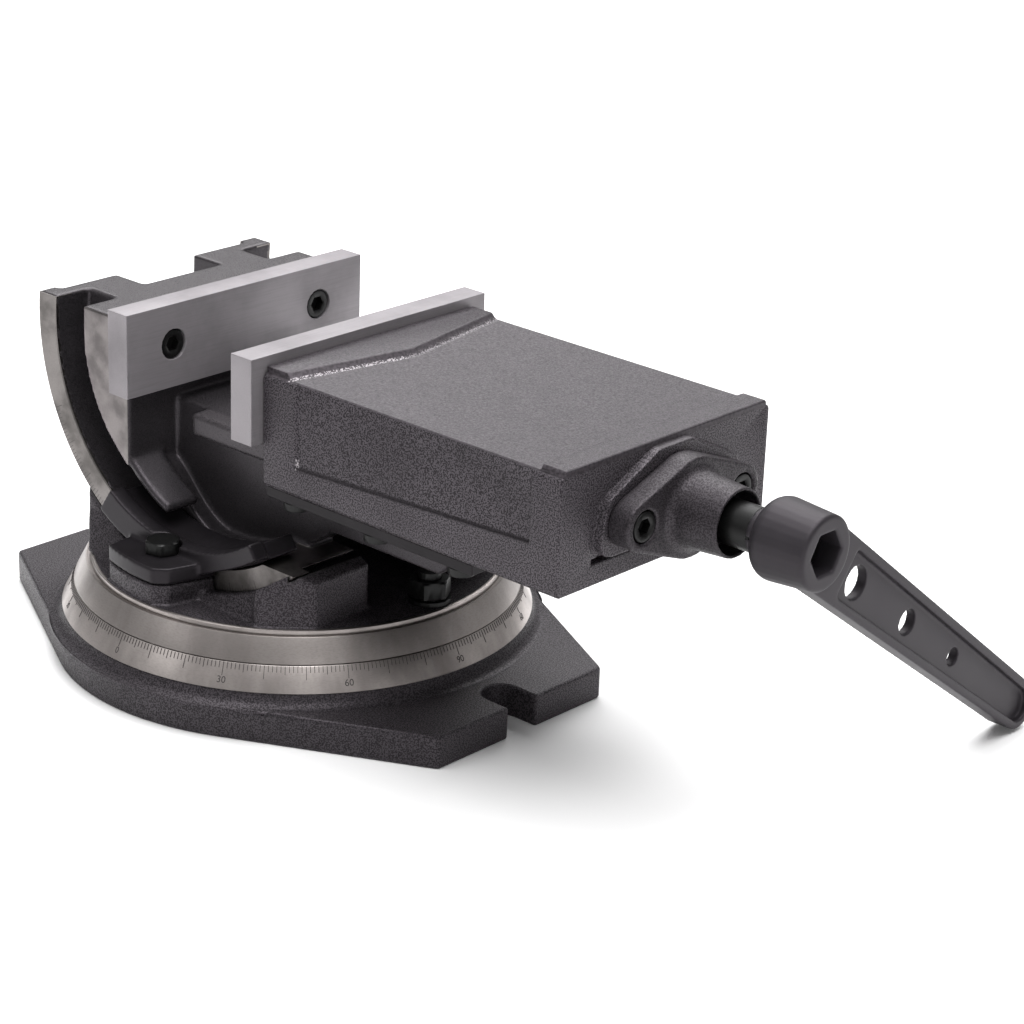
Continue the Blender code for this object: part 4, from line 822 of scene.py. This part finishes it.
@dataclass
class HexPiece:
    """Hexagon nut or bolt head on a vertical axis, with its corners chamfered to a round face."""

    node: str
    body: str
    flats: float
    height: float
    shank_radius: float
    bore_radius: float = 0.0
    corner: float = 0.0
    face_share: float = 0.49
    dish_share: float = 0.36

    def build(self) -> None:
        """Make the nut, or the bolt with its shank below the head."""
        low, high = (np.array(corner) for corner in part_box(self.node))
        centre = np.array([*(low + high)[:2] / 2.0, low[2]])
        length = high[2] - low[2]
        sides = hexagon(self.flats, ROUND_STEPS, -math.radians(self.corner))
        face = self.flats * self.face_share
        drop = np.maximum(sides - face, 0.0).max() * 0.5
        foot = length - self.height
        top = [(np.minimum(sides, face + 0.02 * MM), length), (self.flats * self.dish_share, length)]
        rows: Rows = [(sides, length - drop), *top]
        if self.bore_radius:
            rows = [(self.bore_radius, foot), (np.minimum(sides, face), foot), (sides, foot + drop), *rows,
                    (self.bore_radius, length)]
        else:
            rows = [(self.shank_radius * 0.8, 0.0), (self.shank_radius, self.shank_radius * 0.3),
                    (self.shank_radius, foot), (face, foot), (sides, foot + 0.05 * MM), *rows,
                    (self.flats * 0.1, length - 0.15 * MM)]
        turned_black(self.node + "_fine", self.node, rows, Axis.Z, centre, self.body, bool(self.bore_radius))


# Sub-assemblies


def graded(count: np.ndarray, lengths: Triple) -> np.ndarray:
    """Length of each degree mark: the first at every tenth, the second at every fifth, else the third."""
    return np.where(count % 10 == 0, lengths[0], np.where(count % 5 == 0, lengths[1], lengths[2]))


@dataclass
class Dial:
    """Cone that carries degree marks: a foot circle, a top circle, and the marks that hang from the top."""

    foot_radius: float = 83.0 * MM
    foot_z: float = 16.3 * MM
    top_radius: float = 78.8 * MM
    top_z: float = 24.4 * MM
    first_mark: float = -91.7
    numbered: int = 30
    mark_width: float = 0.17 * MM
    mark_depth: float = 0.26 * MM
    mark_gap: float = 0.15 * MM
    mark_sink: float = 0.04 * MM
    mark_lengths: Triple = (4.5 * MM, 2.8 * MM, 2.1 * MM)
    text_size: float = 3.22 * MM
    text_drop: float = 6.1 * MM
    text_depth: float = 0.12 * MM
    text_sink: float = 0.05 * MM
    skin: Skin = Skin(Finish.INK, "base", PAINTED)

    def place(self, angle: np.ndarray, drop: np.ndarray, rise: np.ndarray | float) -> np.ndarray:
        """Point on the cone: go down the slope by the drop from the top circle, then out along its normal.

        Args:
            angle: angle about the swivel axis, in radians.
            drop: distance down the slope.
            rise: distance out of the surface.

        Returns:
            Array of points.
        """
        slope = math.hypot(self.foot_radius - self.top_radius, self.top_z - self.foot_z)
        out = (self.foot_radius - self.top_radius) / slope
        down = (self.top_z - self.foot_z) / slope
        radius = self.top_radius + out * drop + down * rise
        height = self.top_z - down * drop + out * rise
        return np.stack([radius * np.cos(angle), radius * np.sin(angle), height + 0.0 * angle], axis=-1)

    def behind(self, spots: np.ndarray) -> np.ndarray:
        """Draw the casting's points in behind the band: large radii shrink a little between its two levels.

        Args:
            spots: one row of x, y, z a point.

        Returns:
            The new rows.
        """
        radius = np.hypot(spots[:, 0], spots[:, 1])
        level = spots[:, 2]
        hit = (radius > BAND_INNER) & (level > self.foot_z - 0.1 * MM) & (level < self.top_z + 0.3 * MM)
        spots[hit, :2] *= (1.0 - BEHIND / radius[hit])[:, None]
        spots[hit, 2] -= np.where(level[hit] > self.top_z - 0.4 * MM, 0.3 * MM, 0.0)
        return spots

    def marks(self) -> Piece:
        """Fine dark bars at every degree, longer at five and at ten.

        Returns:
            The new object.
        """
        count = np.arange(DEGREES)
        angle = np.radians(self.first_mark + count)
        length = graded(count, self.mark_lengths)
        top = self.place(angle, np.full(DEGREES, self.mark_gap), 0.0)
        foot = self.place(angle, length, 0.0)
        along = (foot - top) / np.linalg.norm(foot - top, axis=1, keepdims=True)
        across = np.stack([-np.sin(angle), np.cos(angle), 0.0 * angle], axis=-1)
        out = np.cross(along, across)
        out *= np.sign((out * top).sum(axis=1, keepdims=True))
        sizes = np.stack([length, np.full(DEGREES, self.mark_width), np.full(DEGREES, self.mark_depth)],
                         axis=-1)
        centres = (top + foot) / 2.0 - out * self.mark_sink
        return boxes("dial_marks", centres, along, across, out, sizes, self.skin)

    def numerals(self) -> list[Piece]:
        """Plain numbers below every third long mark, counting 0 to 90 and back.

        Returns:
            One piece a number.
        """
        made = []
        for step in range(0, DEGREES, self.numbered):
            around = step % 180
            number = around if around <= 90 else 180 - around
            text = bpy.data.curves.new("numeral", "FONT")
            text.body = str(number)
            text.size = self.text_size
            text.align_x = "CENTER"
            text.align_y = "CENTER"
            text.extrude = self.text_depth
            holder = bpy.data.objects.new("numeral", text)
            bpy.context.scene.collection.objects.link(holder)
            mesh = evaluated(holder)
            bpy.data.objects.remove(holder)
            middle = math.radians(self.first_mark + step)
            reshape(mesh, lambda spots, middle=middle: self.place(
                middle + spots[:, 0] / self.foot_radius, self.text_drop - spots[:, 1],
                spots[:, 2] - self.text_sink))
            piece = bpy.data.objects.new(f"numeral_{step:03d}", welded(mesh))
            made.append(dress(piece, self.skin))
        return made


@dataclass
class Base:
    """Base casting with its machined dial."""

    dial: Dial
    edge: float = 0.9 * MM

    def build(self) -> None:
        """Make the casting, the dial's band, its marks and its numbers."""
        eased("base", "base_casting", Skin(Finish.BASE, "base", PAINTED), self.edge, SHARP_DEGREES,
              self.dial.behind)
        dial = self.dial
        foot, top = dial.foot_radius + PROUD, dial.top_z + 0.02 * MM
        rows = [(BAND_INNER, dial.foot_z), (foot - 0.3 * MM, dial.foot_z - 0.3 * MM), (foot, dial.foot_z),
                (dial.top_radius + PROUD, dial.top_z - 0.25 * MM), (dial.top_radius - 0.2 * MM, top),
                (BAND_INNER, top)]
        turned("dial_band", rows, Axis.Z, ORIGIN, Skin(Finish.DIAL, "base", MACHINED), BAND_STEPS, True)
        dial.marks()
        dial.numerals()


@dataclass
class Turntable:
    """Turntable casting, its band and step ring, the tilt clamps and the tee bolts."""

    band_foot: tuple[float, float] = (78.6 * MM, 24.7 * MM)
    band_top: tuple[float, float] = (74.6 * MM, 32.9 * MM)
    step_radius: float = 72.6 * MM
    step_top: float = 34.4 * MM
    voxel: float = 0.8 * MM

    def behind(self, spots: np.ndarray) -> np.ndarray:
        """Draw the casting's points in behind the bands: the cone's a little way, the step's inside its edge.

        Args:
            spots: one row of x, y, z a point.

        Returns:
            The new rows.
        """
        radius = np.hypot(spots[:, 0], spots[:, 1])
        level = spots[:, 2]
        cone = (radius > BAND_INNER) & (level < self.band_top[1] + 0.2 * MM)
        edge = self.step_radius - 0.35 * MM
        step = (radius > edge) & (radius < edge + 1.6 * MM) & (level < self.step_top + 0.3 * MM) & ~cone
        spots[cone, :2] *= (1.0 - BEHIND / radius[cone])[:, None]
        spots[step, :2] *= (edge / radius[step])[:, None]
        spots[:, 2] -= np.where(cone & (level > self.band_top[1] - 0.5 * MM), 1.0 * MM, 0.0)
        return spots

    def build(self) -> None:
        """Make the casting and everything that is fixed to it."""
        refined("turntable", "turntable_casting", Skin(Finish.TABLE, "turntable", PAINTED), self.voxel, 1,
                self.behind)
        (foot, low), (rim, high) = self.band_foot, self.band_top
        ledge, top = self.step_radius, self.step_top
        rows = [(BAND_INNER, low), (foot - 0.1 * MM, low - 0.02 * MM), (foot + PROUD, low + 0.2 * MM),
                (rim + PROUD, high - 0.25 * MM), (rim - 0.2 * MM, high + PROUD),
                (ledge + 1.3 * MM, high + PROUD), (ledge + 1.2 * MM, high - 0.2 * MM),
                (ledge + 0.35 * MM, high - 0.2 * MM),
                (ledge + 0.3 * MM, high + 0.5 * MM), (ledge + 0.1 * MM, top - 0.1 * MM),
                (ledge - 0.3 * MM, top + 0.1 * MM), (ledge - 1.1 * MM, top + 0.08 * MM),
                (ledge - 1.5 * MM, top - 0.6 * MM), (BAND_INNER, top - 1.0 * MM)]
        turned("turntable_band", rows, Axis.Z, ORIGIN, Skin(Finish.BAND, "turntable", MACHINED), BAND_STEPS,
               True)
        clamp = Skin(Finish.CLAMP, "turntable", "smooth_paint")
        for side in ENDS:
            refined(f"tilt_clamp_{side}", f"clamp_{side}", clamp, 0.6 * MM, 5)
            HexPiece(f"tilt_clamp_bolt_{side}", "turntable", 11 * MM, 4.2 * MM, 3.0 * MM, 0.0, 12.0).build()
        for end in ("front", "rear"):
            HexPiece(f"swivel_nut_{end}", "turntable", 13 * MM, 6.5 * MM, 0.0, 4.3 * MM).build()
            dress_node(f"swivel_bolt_{end}", Finish.BLACK)
            dress_node(f"swivel_washer_{end}", Finish.BLACK)


def dress_node(node: str, finish: Finish) -> None:
    """Give a CAD node that stays in view its finish.

    Args:
        node: name of the node.
        finish: its finish.
    """
    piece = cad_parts[node]
    if not piece.material_slots:
        piece.data.materials.append(finish.material())
    for place in piece.material_slots:
        place.material = finish.material()
    LOG.info("%s: kept from the frame", node)


@dataclass
class TiltBody:
    """Tilting casting with its machined rims and degree marks, the fixed jaw plate and the lead nut."""

    axis_height: float = 113.0 * MM
    half_width: float = 50.5 * MM
    top: float = 121.0 * MM
    rim_outer: float = 78.5 * MM
    rim_inner: float = 69.5 * MM
    rim_end_z: float = 53.0 * MM
    mark_lengths: Triple = (4.2 * MM, 3.2 * MM, 2.2 * MM)
    first_mark: float = 205.0
    mark_width: float = 0.17 * MM
    mark_depth: float = 0.1 * MM
    mark_gap: float = 0.3 * MM
    rim_depth: float = 7.0 * MM
    rim_ease: float = 0.35 * MM
    drawn_in: float = 0.4 * MM
    voxel: float = 0.95 * MM

    def crossing(self, radius: np.ndarray) -> tuple[np.ndarray, np.ndarray]:
        """Angles where circles of the given radii cross the top level on the left and the cut on the right.

        Args:
            radius: radii about the tilt axis.

        Returns:
            Start and end angles in degrees.
        """
        start = 180.0 - np.degrees(np.arcsin((self.top - 0.3 * MM - self.axis_height) / radius))
        end = 360.0 + np.degrees(np.arcsin((self.rim_end_z - self.axis_height) / radius))
        return start, end

    def rim(self, side: Side) -> Piece:
        """Machined face of one rail's rim, a thin band round the outside of the tee groove.

        Args:
            side: near or far rail.

        Returns:
            The new object.
        """
        way = float(side.value)
        edge = way * (self.half_width + 0.05 * MM)
        back = way * (self.half_width - self.rim_depth)
        outer = self.rim_outer + 0.04 * MM
        inner = self.rim_inner + 0.02 * MM
        ease = self.rim_ease
        profile = [(inner, back), (inner, edge - way * ease), (inner + ease, edge), (outer - ease, edge),
                   (outer, edge - way * ease), (outer, back)]
        start, end = self.crossing(np.array([r for r, _ in profile]))
        return swept_arc(f"rim_{side.word()}", profile, start, end, RIM_STEPS, self.axis_height,
                         Skin(Finish.RAIL, "tilt_body", MACHINED))

    def degree_marks(self, side: Side) -> Piece:
        """Short marks near the outer edge of one rim, one a degree, longer at five and at ten.

        Args:
            side: near or far rail.

        Returns:
            The new object.
        """
        count = np.arange(0, 91)
        angle = np.radians(self.first_mark + count)
        length = graded(count, self.mark_lengths)
        spoke = np.stack([np.cos(angle), 0.0 * angle, np.sin(angle)], axis=-1)
        across = np.stack([-np.sin(angle), 0.0 * angle, np.cos(angle)], axis=-1)
        way = float(side.value)
        out = np.broadcast_to(np.array([0.0, way, 0.0]), spoke.shape)
        centre = spoke * (self.rim_outer - self.mark_gap - length / 2.0)[:, None]
        centre += np.array([0.0, way * (self.half_width + 0.02 * MM), self.axis_height])
        sizes = np.stack([length, np.full(len(count), self.mark_width), np.full(len(count), self.mark_depth)],
                         axis=-1)
        skin = Skin(Finish.INK, "tilt_body", PAINTED)
        return boxes(f"rim_marks_{side.word()}", centre, spoke, across, out, sizes, skin)

    def behind(self, spots: np.ndarray) -> np.ndarray:
        """Draw the casting's points in behind the rims: side faces inwards, outer lands towards the axis.

        Args:
            spots: one row of x, y, z a point.

        Returns:
            The new rows.
        """
        radius = np.hypot(spots[:, 0], spots[:, 2] - self.axis_height)
        across = np.abs(spots[:, 1])
        face = (radius > self.rim_inner - 0.2 * MM) & (across > self.half_width - 0.6 * MM)
        land = (radius > self.rim_outer - 0.6 * MM) & (across > self.half_width - 7.4 * MM)
        spots[face, 1] -= np.sign(spots[face, 1]) * self.drawn_in
        shrink = 1.0 - self.drawn_in / radius[land]
        spots[land, 0] *= shrink
        spots[land, 2] = self.axis_height + (spots[land, 2] - self.axis_height) * shrink
        return spots

    def build(self) -> None:
        """Make the casting and everything that is fixed to it."""
        refined("tilt_body", "tilt_casting", Skin(Finish.BODY, "tilt_body", PAINTED), self.voxel, 2,
                self.behind)
        for side in Side:
            self.rim(side)
            self.degree_marks(side)
        eased("fixed_jaw_plate", "fixed_plate", Skin(Finish.GROUND, "tilt_body", "ground_steel"), PLATE_EDGE)
        for place in ENDS:
            SocketScrew(f"fixed_jaw_screw_{place}", Axis.X, Side.HIGH, "tilt_body").build()
            SocketScrew(f"lead_nut_screw_{place}", Axis.Z, Side.HIGH, "tilt_body", *SMALL_SCREW).build()
        eased("lead_nut", "lead_nut_block", Skin(Finish.BRONZE, "tilt_body", "bronze"), 0.4 * MM)


@dataclass
class Slide:
    """Jaw slide with its plate, keepers and bearing flange."""

    edge: float = 0.6 * MM

    def build(self) -> None:
        """Make the slide and everything that is fixed to it."""
        eased("slide", "slide_casting", Skin(Finish.SLIDE, "slide", PAINTED), self.edge, SHARP_DEGREES)
        refined("bearing_cap", "bearing_flange", Skin(Finish.CAP, "slide", PAINTED), 0.5 * MM, 4)
        eased("moving_jaw_plate", "moving_plate", Skin(Finish.GROUND, "slide", "ground_steel"), PLATE_EDGE)
        strip = Skin(Finish.STRIP, "slide", MACHINED)
        for place in ENDS:
            SocketScrew(f"moving_jaw_screw_{place}", Axis.X, Side.LOW, "slide").build()
            SocketScrew(f"cap_screw_{place}", Axis.X, Side.HIGH, "slide").build()
            eased(f"keeper_{place}", f"keeper_strip_{place}", strip, 0.3 * MM)
            for number in (1, 2, 3):
                SocketScrew(f"keeper_screw_{place}_{number}", Axis.Z, Side.LOW, "slide", *SMALL_SCREW).build()


@dataclass
class Spindle:
    """Lead screw with a rolled trapezoid thread, its washers and the crank handle."""

    centre: Triple = (0.0, 0.0, 100.5 * MM)
    radius: float = 8.0 * MM
    pitch: float = 4.0 * MM
    depth: float = 2.0 * MM
    thread_end: float = 149.0 * MM
    collar: tuple[float, float] = (12.5 * MM, 2.8 * MM)
    journal: float = 7.3 * MM
    hex_flats: float = 12.6 * MM
    hex_length: float = 18.0 * MM
    crest: float = 0.33
    flank: float = 0.34
    play: float = 0.3 * MM
    ease: float = 0.3 * MM

    def thread_radii(self, levels: np.ndarray, steps: int) -> np.ndarray:
        """Radius of the thread at each level and angle.

        The phase is the level over the pitch less the angle over a full turn. The radius falls and rises with
        the distance of the phase from the crest, cut off flat at both ends.

        Args:
            levels: places along the screw.
            steps: points round it.

        Returns:
            Array of radii, one row a level.
        """
        angle = np.arange(steps) / steps
        phase = (levels[:, None] / self.pitch - angle[None, :]) % 1.0
        away = np.abs(phase - 0.5) * 2.0
        ramp = np.clip((away - self.crest) / self.flank, 0.0, 1.0)
        start = np.clip((levels - levels[0]) / self.pitch, 0.0, 1.0)
        end = np.clip((levels[-1] - levels) / self.pitch, 0.0, 1.0)
        return self.radius - self.depth * ramp * (start * end)[:, None]

    def build(self) -> None:
        """Make the screw, its washers and the handle."""
        low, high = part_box("lead_screw")
        levels = np.linspace(low[0] + 1.0 * MM, self.thread_end, THREAD_ROWS)
        radii = self.thread_radii(levels, ROUND_STEPS)
        rows: Rows = [(self.radius - 2.5 * MM, low[0])]
        rows += [(radii[i], levels[i]) for i in range(len(levels))]
        head = high[0] - self.hex_length
        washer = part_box("thrust_washer_inner")[1][0] + self.play
        radius, width = self.collar
        sides, ease = hexagon(self.hex_flats), self.ease
        rows += [(self.radius, washer), (radius - ease, washer), (radius, washer + ease),
                 (radius, washer + width - ease), (radius - ease, washer + width),
                 (self.journal, washer + width), (self.journal, head - ease),
                 (self.journal - 0.2 * MM, head), (np.minimum(sides, self.journal - ease), head),
                 (sides, head + 0.1 * MM), (sides, high[0] - 0.8 * MM),
                 (np.minimum(sides, self.hex_flats * 0.48), high[0])]
        turned_black("threaded_screw", "lead_screw", rows, Axis.X, self.centre, "screw")
        dress_node("thrust_washer_inner", Finish.BRONZE)
        dress_node("thrust_washer_outer", Finish.BRONZE)
        refined("handle", "crank_handle", Skin(Finish.HANDLE, "screw", "handle_paint"), 0.5 * MM, 4)


# Studio


@dataclass
class Studio:
    """Pale floor, soft lights and the camera at the photograph's angle.

    Each lamp has its place, its side in metres and its power in watts.
    """

    target: Triple = (105.0 * MM, -5.4 * MM, 80.0 * MM)
    distance: float = 933.8 * MM
    azimuth: float = 41.80
    elevation: float = 21.62
    roll: float = 2.12
    focal_pixels: float = 2888.5
    sensor: float = 36.0
    floor_half: float = 4.0
    sky_strength: float = 0.4
    lamps: dict[str, tuple[Triple, float, float]] = field(default_factory=lambda: {
        "key": ((-0.5, -1.2, 1.1), 0.9, 2.0),
        "top": ((0.2, 0.0, 1.8), 1.9, 56.0),
        "back": ((-0.8, 1.0, 1.5), 1.5, 26.0),
        "fill": ((1.3, -0.9, 0.5), 0.8, 2.0),
    })

    def camera(self) -> None:
        """Place the camera from its azimuth, elevation and roll about the target."""
        az, el, roll = (math.radians(a) for a in (self.azimuth, self.elevation, self.roll))
        back = Vector((math.sin(az) * math.cos(el), -math.cos(az) * math.cos(el), math.sin(el)))
        right = Vector((math.cos(az), math.sin(az), 0.0))
        up = back.cross(right)
        cos, sin = math.cos(roll), math.sin(roll)
        right, up = right * cos + up * sin, up * cos - right * sin
        lens = bpy.data.cameras.new("camera")
        lens.sensor_width = self.sensor
        lens.lens = self.focal_pixels * self.sensor / IMAGE_SIZE
        lens.clip_start = 0.05
        lens.clip_end = 50.0
        camera = bpy.data.objects.new("camera", lens)
        turn = Matrix((right, up, back)).transposed().to_4x4()
        camera.matrix_world = Matrix.Translation(Vector(self.target) + back * self.distance) @ turn
        bpy.context.scene.collection.objects.link(camera)
        bpy.context.scene.camera = camera

    def light(self, name: str, place: Triple, size: float, power: float) -> None:
        """Add a square soft light that faces the vise.

        Args:
            name: name of the light.
            place: where it stands.
            size: its side.
            power: its power in watts.
        """
        lamp = bpy.data.lights.new(name, "AREA")
        lamp.shape = "SQUARE"
        lamp.size = size
        lamp.energy = power
        holder = bpy.data.objects.new(name, lamp)
        holder.location = place
        holder.rotation_mode = "QUATERNION"
        holder.rotation_quaternion = (Vector(place) - Vector(self.target)).to_track_quat("Z", "Y")
        bpy.context.scene.collection.objects.link(holder)

    def build(self) -> None:
        """Make the floor, the lights and the camera."""
        floor_paint = Recipe("studio_floor", (0.90, 0.90, 0.90), 0.0, 0.9)
        half = self.floor_half
        mesh = bpy.data.meshes.new("floor")
        corners = [(-half, -half, 0), (half, -half, 0), (half, half, 0), (-half, half, 0)]
        mesh.from_pydata(corners, [], [(0, 1, 2, 3)])
        mesh.materials.append(floor_paint.material)
        floor = bpy.data.objects.new("floor", mesh)
        bpy.context.scene.collection.objects.link(floor)
        world = bpy.data.worlds.new("studio")
        world.use_nodes = True
        sky = world.node_tree.nodes["Background"]
        sky.inputs["Color"].default_value = (1.0, 1.0, 1.0, 1.0)
        sky.inputs["Strength"].default_value = self.sky_strength
        bpy.context.scene.world = world
        bpy.context.scene.view_settings.view_transform = "Standard"
        for name, (place, size, power) in self.lamps.items():
            self.light(name, place, size, power)
        self.camera()


def main() -> None:
    """Build every sub-assembly, then the studio."""
    logging.basicConfig(level=logging.INFO, format="%(message)s")
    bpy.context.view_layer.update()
    for part in (Base(Dial()), Turntable(), TiltBody(), Slide(), Spindle()):
        part.build()
        LOG.info("%s done", type(part).__name__)
    Studio().build()


if __name__ == "__main__":
    main()
